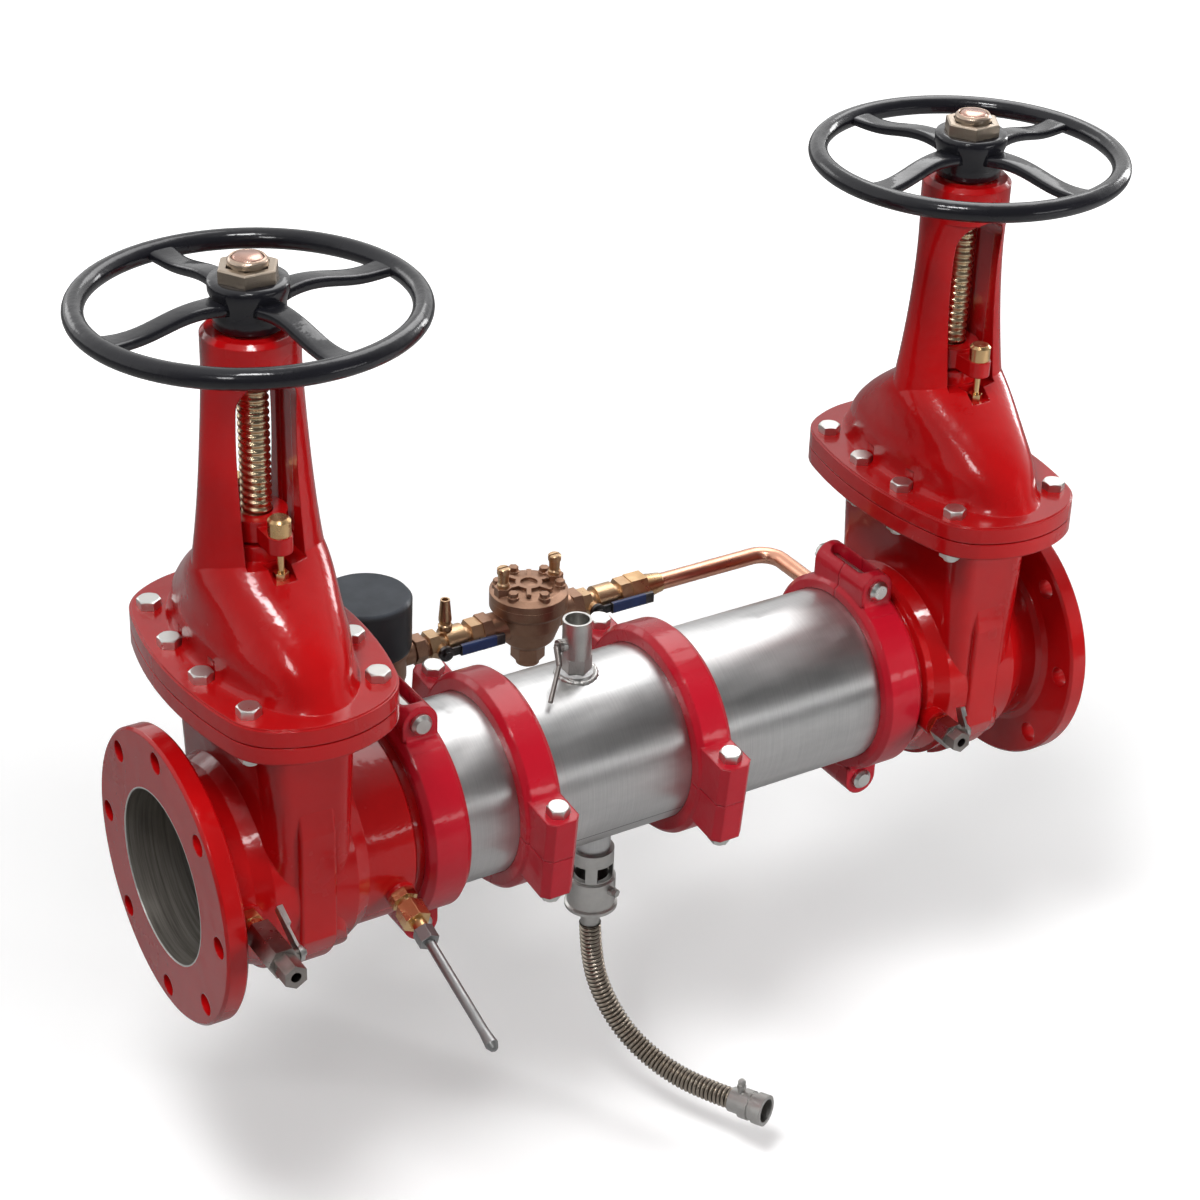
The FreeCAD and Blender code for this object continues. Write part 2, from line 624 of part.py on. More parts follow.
def gland_follower():
    low = STUFFING_TOP_Z - 14.0
    parts = [cyl(GLAND_BOSS_R, Vector(0, 0, GLAND_Z), Vector(0, 0, GLAND_Z + GLAND_T)),
             cyl(PACKING_R - 0.3, Vector(0, 0, low), Vector(0, 0, GLAND_Z + 1))]
    for sy in (1, -1):
        parts.append(cyl(GLAND_EAR_R, Vector(0, sy * GLAND_STUD_Y, GLAND_Z),
                         Vector(0, sy * GLAND_STUD_Y, GLAND_Z + GLAND_T - 5.0)))
        y0, y1 = sorted((0.0, sy * GLAND_STUD_Y))
        parts.append(box(-GLAND_EAR_R, GLAND_EAR_R, y0, y1, GLAND_Z, GLAND_Z + GLAND_T - 5.0))
    cuts = [cyl(STEM_R + FREE_CLEAR, Vector(0, 0, low - 1), Vector(0, 0, GLAND_Z + GLAND_T + 1))]
    for sy in (1, -1):
        cuts.append(cyl(GLAND_STUD_R + 0.5, Vector(0, sy * GLAND_STUD_Y, GLAND_Z - 1),
                        Vector(0, sy * GLAND_STUD_Y, GLAND_Z + GLAND_T)))
    return fuse(parts).cut(cuts)


def packing():
    low = STUFFING_TOP_Z - PACKING_DEPTH
    high = STUFFING_TOP_Z - 14.0
    return tube(PACKING_R, STEM_R + SHAFT_CLEAR, Vector(0, 0, low), Vector(0, 0, high))


def gland_studs():
    """Two studs, each with its round cap nut above and its lock nut below."""
    solids = []
    ear_top = GLAND_Z + GLAND_T - 5.0
    for sy in (1, -1):
        y = sy * GLAND_STUD_Y
        solids.append(cyl(GLAND_STUD_R, Vector(0, y, WINDOW_BOTTOM_Z - 38.0),
                          Vector(0, y, ear_top + GLAND_NUT_H - 4.0)))
        cap = revolve_z([(0, ear_top), (GLAND_NUT_R, ear_top),
                         (GLAND_NUT_R, ear_top + GLAND_NUT_H - 3.0),
                         (GLAND_NUT_R - 3.0, ear_top + GLAND_NUT_H), (0, ear_top + GLAND_NUT_H)], 0, y)
        solids.append(cap.cut(cyl(GLAND_STUD_R, Vector(0, y, ear_top - 1),
                                  Vector(0, y, ear_top + GLAND_NUT_H - 4.0))))
        solids.append(nut(GLAND_STUD_R, LOCK_NUT_AF, 8.0, Vector(0, y, WINDOW_BOTTOM_Z - 12.0), Z))
    return solids


def yoke_nut():
    """Bronze bush that turns in the yoke collar and carries the handwheel."""
    top = YOKE_TOP_Z - COLLAR_H
    outer = YOKE_NUT_FLANGE_R - 3.0
    return revolve_z([
        (STEM_R + SHAFT_CLEAR, top + 4.0), (outer, top + 4.0), (outer, YOKE_TOP_Z + 0.4),
        (YOKE_NUT_FLANGE_R, YOKE_TOP_Z + 0.4), (YOKE_NUT_FLANGE_R, YOKE_TOP_Z + 3.0),
        (YOKE_NUT_R, YOKE_TOP_Z + 3.0), (YOKE_NUT_R, YOKE_NUT_TOP_Z - 2.0),
        (YOKE_NUT_R - 2.0, YOKE_NUT_TOP_Z), (STEM_R + SHAFT_CLEAR, YOKE_NUT_TOP_Z)])


def spoke_side(sign):
    """One hollow edge of a spoke, narrowest half way from hub to rim."""
    inner = HUB_BOTTOM_R - 6.0
    ends = 0.5 * SPOKE_W + SPOKE_FLARE
    return Part.Arc(Vector(inner, sign * ends, 0),
                    Vector(0.5 * (inner + WHEEL_R), sign * 0.5 * SPOKE_W + SPOKE_WAVE, 0),
                    Vector(WHEEL_R, sign * ends, 0)).toShape()


def handwheel(turn_deg):
    rim = Part.makeTorus(WHEEL_R, RIM_R, Vector(0, 0, WHEEL_Z), Z)
    base = YOKE_TOP_Z + 3.0
    hub = revolve_z([(YOKE_NUT_R, base), (HUB_BOTTOM_R - 2.0, base), (HUB_BOTTOM_R, base + 3.0),
                     (HUB_TOP_R, HUB_TOP_Z - 8.0), (HUB_TOP_R, HUB_TOP_Z - 2.0),
                     (HUB_TOP_R - 2.0, HUB_TOP_Z), (YOKE_NUT_R, HUB_TOP_Z)])
    left = spoke_side(1)
    right = spoke_side(-1)
    ends = [Part.makeLine(left.Vertexes[i].Point, right.Vertexes[i].Point) for i in (0, 1)]
    wire = Part.Wire(Part.__sortEdges__([left, right] + ends))
    spoke = Part.Face(wire).extrude(Vector(0, 0, SPOKE_T))
    spoke.translate(Vector(0, 0, WHEEL_Z - 0.4 * SPOKE_T))
    parts = [rim, hub]
    for i in range(SPOKES):
        arm = spoke.copy()
        arm.rotate(ORIGIN, Z, turn_deg + 360.0 * i / SPOKES)
        parts.append(arm)
    bore = cyl(YOKE_NUT_R, Vector(0, 0, base - 1), Vector(0, 0, HUB_TOP_Z + 1))
    return fuse(parts).cut(bore)


def wheel_nut():
    body = hexagon(WHEEL_NUT_AF, Vector(0, 0, HUB_TOP_Z), Vector(0, 0, HUB_TOP_Z + WHEEL_NUT_H))
    dome = revolve_z([(0, HUB_TOP_Z), (WHEEL_NUT_AF * 0.58, HUB_TOP_Z),
                      (WHEEL_NUT_AF * 0.58, HUB_TOP_Z + WHEEL_NUT_H - 4.0),
                      (WHEEL_NUT_AF * 0.48, HUB_TOP_Z + WHEEL_NUT_H), (0, HUB_TOP_Z + WHEEL_NUT_H)])
    return body.common(dome).cut(cyl(YOKE_NUT_R, Vector(0, 0, HUB_TOP_Z - 1),
                                     Vector(0, 0, HUB_TOP_Z + WHEEL_NUT_H + 1)))


def ear_blend(z_sign, y_sign):
    """Hollow-sided web that runs from the end of an ear down on to the ring."""
    y_far = EAR_Y + EAR_BLEND
    z_low = math.sqrt(COUPLING_R ** 2 - y_far ** 2)
    y0, y1 = sorted((y_sign * (EAR_Y - 2.0), y_sign * y_far))
    z0, z1 = sorted((z_sign * (z_low - 14.0), z_sign * (z_low + EAR_BLEND - 1.0)))
    half = EAR_HALF_W - 3.0
    web = box(-half, half, y0, y1, z0, z1)
    hollow = Vector(-half - 1.0, y_sign * y_far, z_sign * (z_low + EAR_BLEND))
    return web.cut(cyl(EAR_BLEND - 0.4, hollow, hollow + X * (2.0 * half + 2.0)))


def ear(z_sign):
    """Blank of one coupling ear, a rounded tab reaching to both sides of the split."""
    lo, hi = sorted((z_sign * (PIPE_R + 8.0), z_sign * EAR_BOLT_Z))
    tab = fuse([box(-EAR_HALF_W, EAR_HALF_W, -EAR_Y, EAR_Y, lo, hi),
                cyl(EAR_HALF_W, Vector(0, -EAR_Y, z_sign * EAR_BOLT_Z),
                    Vector(0, EAR_Y, z_sign * EAR_BOLT_Z)), ear_blend(z_sign, 1), ear_blend(z_sign, -1)])
    slot_half = EAR_HALF_W - EAR_WALL
    reach = EAR_Y - EAR_WALL - 2.0
    z_floor = z_sign * (EAR_BOLT_Z - slot_half)
    z_open = z_sign * (EAR_BOLT_Z + EAR_HALF_W + 5.0)
    lo, hi = sorted((z_floor, z_open))
    slot = fuse([box(-slot_half, slot_half, slot_half - reach, reach - slot_half, lo, hi),
                 cyl(slot_half, Vector(0, slot_half - reach, lo), Vector(0, slot_half - reach, hi)),
                 cyl(slot_half, Vector(0, reach - slot_half, lo), Vector(0, reach - slot_half, hi))])
    hole = cyl(COUPLING_BOLT_R + BOLT_HOLE_CLEAR, Vector(0, -EAR_Y - 1, z_sign * EAR_BOLT_Z),
               Vector(0, EAR_Y + 1, z_sign * EAR_BOLT_Z))
    return tab, slot, hole


def ring_with_keys(half_w, outer_r, half_gap):
    """Coupling ring about a joint at x = 0 with its two keys, and the gasket pocket to cut."""
    lip = half_w - 7.0
    key_in = half_gap + GROOVE_FROM_END - GROOVE_W + KEY_CLEAR
    key_out = half_gap + GROOVE_FROM_END - KEY_CLEAR
    ring = revolve_x([(-half_w, PIPE_R + 0.4), (-half_w, outer_r - 6.0), (-lip, outer_r),
                      (lip, outer_r), (half_w, outer_r - 6.0), (half_w, PIPE_R + 0.4)])
    pocket = tube(GASKET_R, PIPE_R - 5.0, Vector(-key_in, 0, 0), Vector(key_in, 0, 0))
    keys = [tube(PIPE_R + 1.0, PIPE_R - GROOVE_DEPTH + KEY_CLEAR, Vector(s * key_in, 0, 0),
                 Vector(s * key_out, 0, 0)) for s in (1, -1)]
    return fuse([ring] + keys), pocket


def end_coupling(x):
    """Front and rear halves of the coupling between a valve and the check valve body."""
    ring, pocket = ring_with_keys(COUPLING_HALF_W, COUPLING_R, PIPE_GAP)
    top_tab, top_slot, top_hole = ear(1)
    low_tab, low_slot, low_hole = ear(-1)
    clear = cyl(PIPE_R + 2.0, Vector(-60, 0, 0), Vector(60, 0, 0))
    tabs = fuse([top_tab, low_tab]).cut(clear)
    whole = fuse([ring, tabs]).cut([pocket, top_slot, low_slot, top_hole, low_hole])
    halves = []
    for sy in (-1, 1):
        y0, y1 = sorted((sy * 0.5 * SPLIT_GAP, sy * 200.0))
        half = whole.common(box(-60, 60, y0, y1, -250, 250))
        half.translate(Vector(x, 0, 0))
        halves.append(half)
    return halves


def end_coupling_bolts(x):
    """Two button head bolts with nuts, along Y."""
    solids = []
    for sz in (1, -1):
        z = sz * EAR_BOLT_Z
        head = fuse([cyl(COUPLING_HEAD_R, Vector(x, -EAR_Y - 4.0, z), Vector(x, -EAR_Y, z)),
                     cone(COUPLING_HEAD_R - 4.0, COUPLING_HEAD_R, Vector(x, -EAR_Y - 8.0, z),
                          Vector(x, -EAR_Y - 4.0, z)),
                     cyl(COUPLING_BOLT_R, Vector(x, -EAR_Y - 1, z), Vector(x, EAR_Y + 18.0, z))])
        solids.append(head)
        solids.append(nut(COUPLING_BOLT_R, BONNET_BOLT_AF, 13.0, Vector(x, EAR_Y, z), Y))
    return solids


def clamp(x):
    """Upper and lower halves of the clamp round two housings, bolted front and rear."""
    ring, pocket = ring_with_keys(CLAMP_HALF_W, CLAMP_R, 0.5 * SEAT_FLANGE_T)
    pads = []
    holes = []
    for sy in (1, -1):
        y0, y1 = sorted((sy * (PIPE_R + 4.0), sy * PAD_Y))
        pad = box(-PAD_HALF_X, PAD_HALF_X, y0, y1, -PAD_HALF_H, PAD_HALF_H)
        outer = [e for e in pad.Edges if abs(e.CenterOfMass.y - sy * PAD_Y) < 0.01
                 and abs(e.tangentAt(e.FirstParameter).z) > 0.99]
        pads.append(pad.makeChamfer(8.0, outer))
        holes.append(cyl(COUPLING_BOLT_R + BOLT_HOLE_CLEAR, Vector(0, sy * CLAMP_BOLT_Y, -90),
                         Vector(0, sy * CLAMP_BOLT_Y, 90)))
    clear = cyl(PIPE_R + 2.0, Vector(-60, 0, 0), Vector(60, 0, 0))
    whole = fuse([ring, fuse(pads).cut(clear)]).cut([pocket] + holes)
    halves = []
    for sz in (1, -1):
        z0, z1 = sorted((sz * 0.5 * SPLIT_GAP, sz * 250.0))
        half = whole.common(box(-60, 60, -250, 250, z0, z1))
        half.rotate(ORIGIN, X, CLAMP_TILT_DEG)
        half.translate(Vector(x, 0, 0))
        halves.append(half)
    return halves


def clamp_bolts(x):
    solids = []
    for sy in (1, -1):
        seat = Vector(0, sy * CLAMP_BOLT_Y, PAD_HALF_H)
        solids.append(screw(COUPLING_BOLT_R, BONNET_BOLT_AF, 11.0, seat, -Z,
                            2.0 * PAD_HALF_H + 18.0))
        solids.append(nut(COUPLING_BOLT_R, BONNET_BOLT_AF, 13.0,
                          Vector(0, sy * CLAMP_BOLT_Y, -PAD_HALF_H), -Z))
    for solid in solids:
        solid.rotate(ORIGIN, X, CLAMP_TILT_DEG)
        solid.translate(Vector(x, 0, 0))
    return solids


def coupling_gasket(x):
    """Rubber ring that bridges two pipe ends inside a coupling."""
    half = GROOVE_FROM_END - GROOVE_W - 0.2
    ring = tube(GASKET_R - 0.3, PIPE_R + 0.05, Vector(-half, 0, 0), Vector(half, 0, 0))
    ring.translate(Vector(x, 0, 0))
    return ring


def housing(x0, x1):
    """Stainless tube with a rolled groove at each end."""
    shell = tube(PIPE_R, PIPE_R - HOUSING_WALL, Vector(x0, 0, 0), Vector(x1, 0, 0))
    cuts = []
    fills = []
    for start in (x0 + GROOVE_FROM_END - GROOVE_W, x1 - GROOVE_FROM_END):
        a = Vector(start, 0, 0)
        b = Vector(start + GROOVE_W, 0, 0)
        cuts.append(tube(PIPE_R + 1, PIPE_R - GROOVE_DEPTH, a, b))
        fills.append(tube(PIPE_R - 0.5, PIPE_R - HOUSING_WALL - GROOVE_DEPTH,
                          a - X * 2.0, b + X * 2.0))
    return fuse([shell] + fills).cut(cuts)


def relief_housing(x0, x1):
    """Middle housing with the relief stub and the base of the top test cock welded on."""
    body = housing(x0, x1)
    stub = tube(RELIEF_STUB_R, RELIEF_STUB_R - 4.0, Vector(RELIEF_X, 0, RELIEF_STUB_Z),
                Vector(RELIEF_X, 0, -PIPE_R + 8.0))
    base = revolve_z([(0, PIPE_R - 6.0), (24.0, PIPE_R - 6.0), (21.0, PIPE_R + 3.0),
                      (15.0, PIPE_R + 6.0), (0, PIPE_R + 6.0)], TOP_COCK_X)
    inside = cyl(PIPE_R - HOUSING_WALL, Vector(x0, 0, 0), Vector(x1, 0, 0))
    added = fuse([stub, base]).cut(inside)
    port = cyl(RELIEF_STUB_R - 4.0, Vector(RELIEF_X, 0, -PIPE_R - 20), Vector(RELIEF_X, 0, -90))
    tap = cyl(COCK_BORE_R, Vector(TOP_COCK_X, 0, 90), Vector(TOP_COCK_X, 0, PIPE_R + 10))
    return fuse([body, added]).cut([port, tap])


def check_seat(x):
    """Seat ring clamped between two housings, with two lugs for the hinge pin."""
    half = 0.5 * SEAT_FLANGE_T
    ring = revolve_x([(-half, CHECK_BORE_R), (-half, PIPE_R - 0.5), (half, PIPE_R - 0.5),
                      (half, CHECK_SEAT_R - HOUSING_WALL - 0.6), (CHECK_SEAT_L, CHECK_SEAT_R - 7.0),
                      (CHECK_SEAT_L, CHECK_BORE_R + 4.0), (CHECK_SEAT_L - 4.0, CHECK_BORE_R)])
    pocket = box(CHECK_SEAT_L - 6.0, CHECK_SEAT_L + 1, -22, 22, CLAPPER_R + 2.0, PIPE_R)
    pin_x = CHECK_SEAT_L + PIN_OFFSET_X
    lugs = []
    for sy in (1, -1):
        y0, y1 = sorted((sy * 22.0, sy * 29.0))
        lugs.append(box(half, pin_x, y0, y1, PIN_Z - 7.0, PIN_Z + 7.0))
        lugs.append(cyl(7.0, Vector(pin_x, y0, PIN_Z), Vector(pin_x, y1, PIN_Z)))
    seat = fuse([ring.cut(pocket)] + lugs)
    seat = seat.cut(cyl(PIN_R, Vector(pin_x, -40, PIN_Z), Vector(pin_x, 40, PIN_Z)))
    seat.translate(Vector(x, 0, 0))
    return seat


def clapper(x):
    """Disc that closes on the seat, hung from its hinge arm."""
    face = CHECK_SEAT_L + 0.2
    disc = revolve_x([(face, 0), (face, CLAPPER_R), (face + CLAPPER_T - 2.0, CLAPPER_R),
                      (face + CLAPPER_T, CLAPPER_R - 2.0), (face + CLAPPER_T, 24.0),
                      (face + CLAPPER_T + 8.0, 18.0), (face + CLAPPER_T + 8.0, 0)])
    pin_x = CHECK_SEAT_L + PIN_OFFSET_X
    parts = [disc]
    for sy in (1, -1):
        y0, y1 = sorted((sy * 12.0, sy * 21.0))
        parts.append(box(face + CLAPPER_T - 2.0, pin_x + 5.0, y0, y1, 0.0, PIN_Z))
        parts.append(cyl(7.0, Vector(pin_x, y0, PIN_Z), Vector(pin_x, y1, PIN_Z)))
    whole = fuse(parts).cut(cyl(PIN_R + SHAFT_CLEAR, Vector(pin_x, -40, PIN_Z),
                                Vector(pin_x, 40, PIN_Z)))
    whole.translate(Vector(x, 0, 0))
    return whole


def check_pin(x):
    pin_x = x + CHECK_SEAT_L + PIN_OFFSET_X
    return cyl(PIN_R, Vector(pin_x, -PIN_HALF_L, PIN_Z), Vector(pin_x, PIN_HALF_L, PIN_Z))


def check_spring(x):
    """Closed torsion coil round the hinge pin, drawn as a sleeve with a groove between turns."""
    pin_x = x + CHECK_SEAT_L + PIN_OFFSET_X
    inner = PIN_R + FREE_CLEAR
    pitch = SPRING_L / SPRING_TURNS
    outline = [(inner, 0.0)]
    for i in range(SPRING_TURNS):
        outline += [(SPRING_R - 1.0, i * pitch), (SPRING_R, (i + 0.3) * pitch),
                    (SPRING_R, (i + 0.7) * pitch)]
    outline += [(SPRING_R - 1.0, SPRING_L), (inner, SPRING_L)]
    coil = revolve_z(outline)
    coil.rotate(ORIGIN, X, -90)
    coil.translate(Vector(pin_x, -0.5 * SPRING_L, PIN_Z))
    return coil


def air_gap_body():
    """Windowed body below the relief stub: two rings joined by four posts."""
    top = RELIEF_STUB_Z + 12.0
    shell = fuse([tube(AIR_GAP_R, RELIEF_STUB_R, Vector(RELIEF_X, 0, RELIEF_STUB_Z),
                       Vector(RELIEF_X, 0, top)),
                  tube(AIR_GAP_R, RELIEF_STUB_R - 1.0, Vector(RELIEF_X, 0, AIR_GAP_Z),
                       Vector(RELIEF_X, 0, RELIEF_STUB_Z))])
    gap_lo, gap_hi = RELIEF_STUB_Z - 26.0, RELIEF_STUB_Z - 6.0
    windows = []
    for i in range(4):
        win = box(10.0, 40.0, -13.0, 13.0, gap_lo, gap_hi)
        win.rotate(ORIGIN, Z, 90.0 * i + 12.0)
        win.translate(Vector(RELIEF_X, 0, 0))
        windows.append(win)
    return shell.cut(windows)


def funnel():
    """Cup below the air gap with three clamping screws and the hose spigot."""
    cup = revolve_z([(AIR_GAP_R + 0.0, AIR_GAP_Z + 16.0), (FUNNEL_R, AIR_GAP_Z + 14.0),
                     (FUNNEL_R, FUNNEL_Z + 9.0), (FUNNEL_R + 3.0, FUNNEL_Z + 7.0),
                     (FUNNEL_R + 3.0, FUNNEL_Z + 3.0), (FUNNEL_R - 2.0, FUNNEL_Z),
                     (HOSE_COLLAR_R, FUNNEL_Z), (HOSE_COLLAR_R, HOSE_TOP_Z),
                     (HOSE_COLLAR_R - 3.0, HOSE_TOP_Z), (HOSE_COLLAR_R - 3.0, FUNNEL_Z + 4.0),
                     (AIR_GAP_R, FUNNEL_Z + 10.0)], RELIEF_X)
    parts = [cup]
    for i in range(3):
        a = math.radians(120.0 * i - 70.0)
        out = Vector(math.cos(a), math.sin(a), 0)
        at = Vector(RELIEF_X, 0, AIR_GAP_Z + 3.0)
        parts.append(cyl(6.0, at + out * (AIR_GAP_R + 1.0), at + out * (FUNNEL_R + 5.0)))
        parts.append(hexagon(9.0, at + out * (FUNNEL_R + 5.0), at + out * (FUNNEL_R + 11.0)))
    return fuse(parts)


def hose_plane(along, z):
    """Point of the hose's upright plane, a distance out from under the relief port."""
    a = math.radians(HOSE_HEADING_DEG)
    return Vector(RELIEF_X + along * math.sin(a), -along * math.cos(a), z)


# Hose route, chosen by hand: distance out and height of each point.
HOSE_ROUTE = ((0.0, -262.7), (3.0, -318.0), (23.0, -370.0), (60.0, -414.0),
              (109.0, -440.0), (163.0, -450.0), (214.0, -447.0))


def smooth_path(points):
    """Straight runs joined by tangent arcs, as one wire; also returns the arc radii."""
    edges = []
    radii = []
    start = points[0]
    for before, corner, after in zip(points, points[1:], points[2:]):
        u = before - corner
        v = after - corner
        run = min(u.Length, v.Length)
        u.normalize()
        v.normalize()
        turn = math.pi - u.getAngle(v)
        radius = 0.45 * run / math.tan(0.5 * turn)
        cut = 0.45 * run
        p = corner + u * cut
        q = corner + v * cut
        inward = u + v
        inward.normalize()
        mid = corner + inward * (radius / math.cos(0.5 * turn) - radius)
        edges.append(Part.LineSegment(start, p).toShape())
        edges.append(Part.Arc(p, mid, q).toShape())
        radii.append(radius)
        start = q
    edges.append(Part.LineSegment(start, points[-1]).toShape())
    return Part.Wire(edges), radii


def swept_bar(path, radius, start, direction):
    section = Part.Wire(Part.makeCircle(radius, start, direction))
    return path.makePipeShell([section], True, True)


def drain_hose():
    points = [hose_plane(a, z) for a, z in HOSE_ROUTE]
    path, radii = smooth_path(points)
    solid = swept_bar(path, HOSE_R, points[0], points[1] - points[0])
    print("hose radii", [round(r) for r in radii], "length", round(path.Length, 1),
          "volume ratio", round(solid.Volume / (math.pi * HOSE_R ** 2 * path.Length), 4))
    return solid


def hose_end():
    """Socket on the free end of the hose, with its bleed screw on top."""
    tip = hose_plane(*HOSE_ROUTE[-1])
    before = hose_plane(*HOSE_ROUTE[-2])
    along = tip - before
    along.normalize()
    end = tip + along * HOSE_END_L
    body = fuse([cyl(HOSE_R + 2.0, tip, tip + along * 18.0),
                 cyl(HOSE_END_R - 1.0, tip + along * 16.0, tip + along * 28.0),
                 cyl(HOSE_R + 3.5, tip + along * 26.0, end),
                 cyl(HOSE_END_R, end - along * 13.0, end),
                 cyl(5.0, tip + along * 12.0 + Z * HOSE_R, tip + along * 12.0 + Z * (HOSE_R + 14.0)),
                 hexagon(10.0, tip + along * 12.0 + Z * (HOSE_R + 8.0),
                         tip + along * 12.0 + Z * (HOSE_R + 13.0)),
                 Part.makeSphere(5.0, tip + along * 12.0 + Z * (HOSE_R + 17.0))])
    return body.cut(cyl(HOSE_BORE_R, tip + along * 12.0, end + along))


def cock_body(x, y_seat, z, nipple, flats, length, end_flats, end_length):
    """Test cock along -Y: nipple, body with a stem boss on its +X side, and end piece."""
    y = y_seat
    parts = [hexagon(flats - 8.0, Vector(x, y, z), Vector(x, y - 0.5 * nipple, z)),
             cyl(flats * 0.36, Vector(x, y - 0.5 * nipple + 1, z), Vector(x, y - nipple, z))]
    y -= nipple
    parts.append(hexagon(flats, Vector(x, y, z), Vector(x, y - length, z)))
    boss_y = y - 0.85 * length
    parts.append(cyl(7.0, Vector(x, boss_y, z), Vector(x + 0.5 * flats + 3.0, boss_y, z)))
    y -= length
    parts.append(hexagon(end_flats, Vector(x, y, z), Vector(x, y - end_length, z), 30.0))
    bore = cyl(COCK_BORE_R, Vector(x, y - end_length - 1, z), Vector(x, y - end_length + 24.0, z))
    return fuse(parts).cut(bore), Vector(x + 0.5 * flats + 3.0, boss_y, z), y - end_length


def wing_lever(pivot, reach, rise):
    """Bent lever plate with its screw, turning about +X at the pivot."""
    base = pivot + X * 0.3
    hub = cyl(9.0, base, base + X * 5.0)
    bolt = hexagon(8.0, base + X * 5.0, base + X * 9.0)
    tip = base + Vector(1.0, reach, rise)
    side = Vector(0, -rise, reach)
    side.normalize()
    outline = [base + side * 8.0, tip + side * 5.0, tip - side * 5.0, base - side * 8.0,
               base + side * 8.0]
    arm = Part.Face(Part.makePolygon([Vector(base.x, p.y, p.z) for p in outline]))
    arm = arm.extrude(X * 3.0)
    wing = Part.Face(Part.makePolygon([Vector(base.x, p.y, p.z) for p in (
        tip + side * 5.0, tip - side * 5.0, tip - side * 5.0 - Vector(0, 0.4 * reach, 0.4 * rise),
        tip + side * 5.0 - Vector(0, 0.4 * reach, 0.4 * rise), tip + side * 5.0)]))
    wing = wing.extrude(X * 7.0)
    return fuse([hub, bolt, arm, wing])


def top_cock():
    """Upright test cock on the middle housing: hexagon, barrel and stem boss to -X."""
    x = TOP_COCK_X
    low = PIPE_R + 6.0
    parts = [hexagon(32.0, Vector(x, 0, low), Vector(x, 0, TOP_COCK_Z)),
             cyl(TOP_COCK_R, Vector(x, 0, TOP_COCK_Z), Vector(x, 0, TOP_COCK_Z + TOP_COCK_H)),
             cyl(7.5, Vector(x, 0, TOP_COCK_Z + 18.0),
                 Vector(x - TOP_COCK_R - 4.0, 0, TOP_COCK_Z + 18.0))]
    bore = cyl(TOP_COCK_R - 3.0, Vector(x, 0, TOP_COCK_Z + 22.0),
               Vector(x, 0, TOP_COCK_Z + TOP_COCK_H + 1))
    return fuse(parts).cut(bore)


def top_cock_lever():
    """Thin lever that stands off towards -X and hangs forward and down."""
    pivot = Vector(TOP_COCK_X - TOP_COCK_R - 4.3, 0, TOP_COCK_Z + 18.0)
    end = Vector(470.0, -44.0, 110.0)
    elbow = pivot + Vector(-12.0, -17.0, -14.0)
    parts = [cyl(8.0, pivot - X * 4.0, pivot), hexagon(8.0, pivot - X * 7.0, pivot - X * 4.0),
             cone(4.0, 3.5, pivot - X * 5.5, elbow), cyl(2.8, elbow, end),
             Part.makeSphere(3.5, elbow)]
    return fuse(parts)


def drain_fitting():
    d = drain_direction()
    at = Vector(DRAIN_X, 0, 0)
    parts = [hexagon(28.0, at + d * BOSS_PROUD, at + d * (BOSS_PROUD + 10.0)),
             cyl(11.0, at + d * (BOSS_PROUD + 9.0), at + d * (BOSS_PROUD + 18.0)),
             hexagon(30.0, at + d * (BOSS_PROUD + 17.0), at + d * (BOSS_PROUD + 40.0)),
             cyl(9.0, at + d * (BOSS_PROUD + 39.0), at + d * (BOSS_PROUD + 52.0))]
    return fuse(parts)


def drain_tube():
    """Drain tube with its nut and a flattened, rounded tip."""
    d = drain_direction()
    at = Vector(DRAIN_X, 0, 0)
    start = at + d * (BOSS_PROUD + 52.0)
    end = at + d * 345.0
    parts = [hexagon(22.0, start, start + d * 18.0), cyl(DRAIN_TUBE_R, start + d * 17.0, end - d * 9.0),
             cone(DRAIN_TUBE_R, DRAIN_TUBE_R + 1.6, end - d * 26.0, end - d * 8.0),
             cone(DRAIN_TUBE_R + 1.6, DRAIN_TUBE_R - 1.4, end - d * 8.0, end - d * 1.5),
             cone(DRAIN_TUBE_R - 1.4, DRAIN_TUBE_R - 3.4, end - d * 1.5, end)]
    return fuse(parts)


def at_bypass(x, dy=0.0, dz=0.0):
    return Vector(x, BYPASS_Y + dy, BYPASS_Z + dz)


def bypass_inlet_line():
    """Nipple from the inlet casting, elbow, and the run to the meter."""
    corner = at_bypass(BYPASS_IN_X)
    rear = Vector(BYPASS_IN_X, REAR_BOSS_Y, BYPASS_Z)
    x_end = METER_X - METER_HALF_L
    parts = [hexagon(FITTING_AF, rear, rear + Y * 16.0),
             cyl(BYPASS_TUBE_R + 2.0, rear + Y * 15.0, corner - Y * 20.0),
             cyl(BARREL_R, corner - Y * 26.0, corner), Part.makeSphere(BARREL_R, corner),
             cyl(BARREL_R, corner, corner + X * 26.0),
             cyl(BYPASS_TUBE_R + 2.0, corner + X * 20.0, at_bypass(x_end - 18.0)),
             hexagon(FITTING_AF, at_bypass(x_end - 18.0), at_bypass(x_end))]
    return fuse(parts)


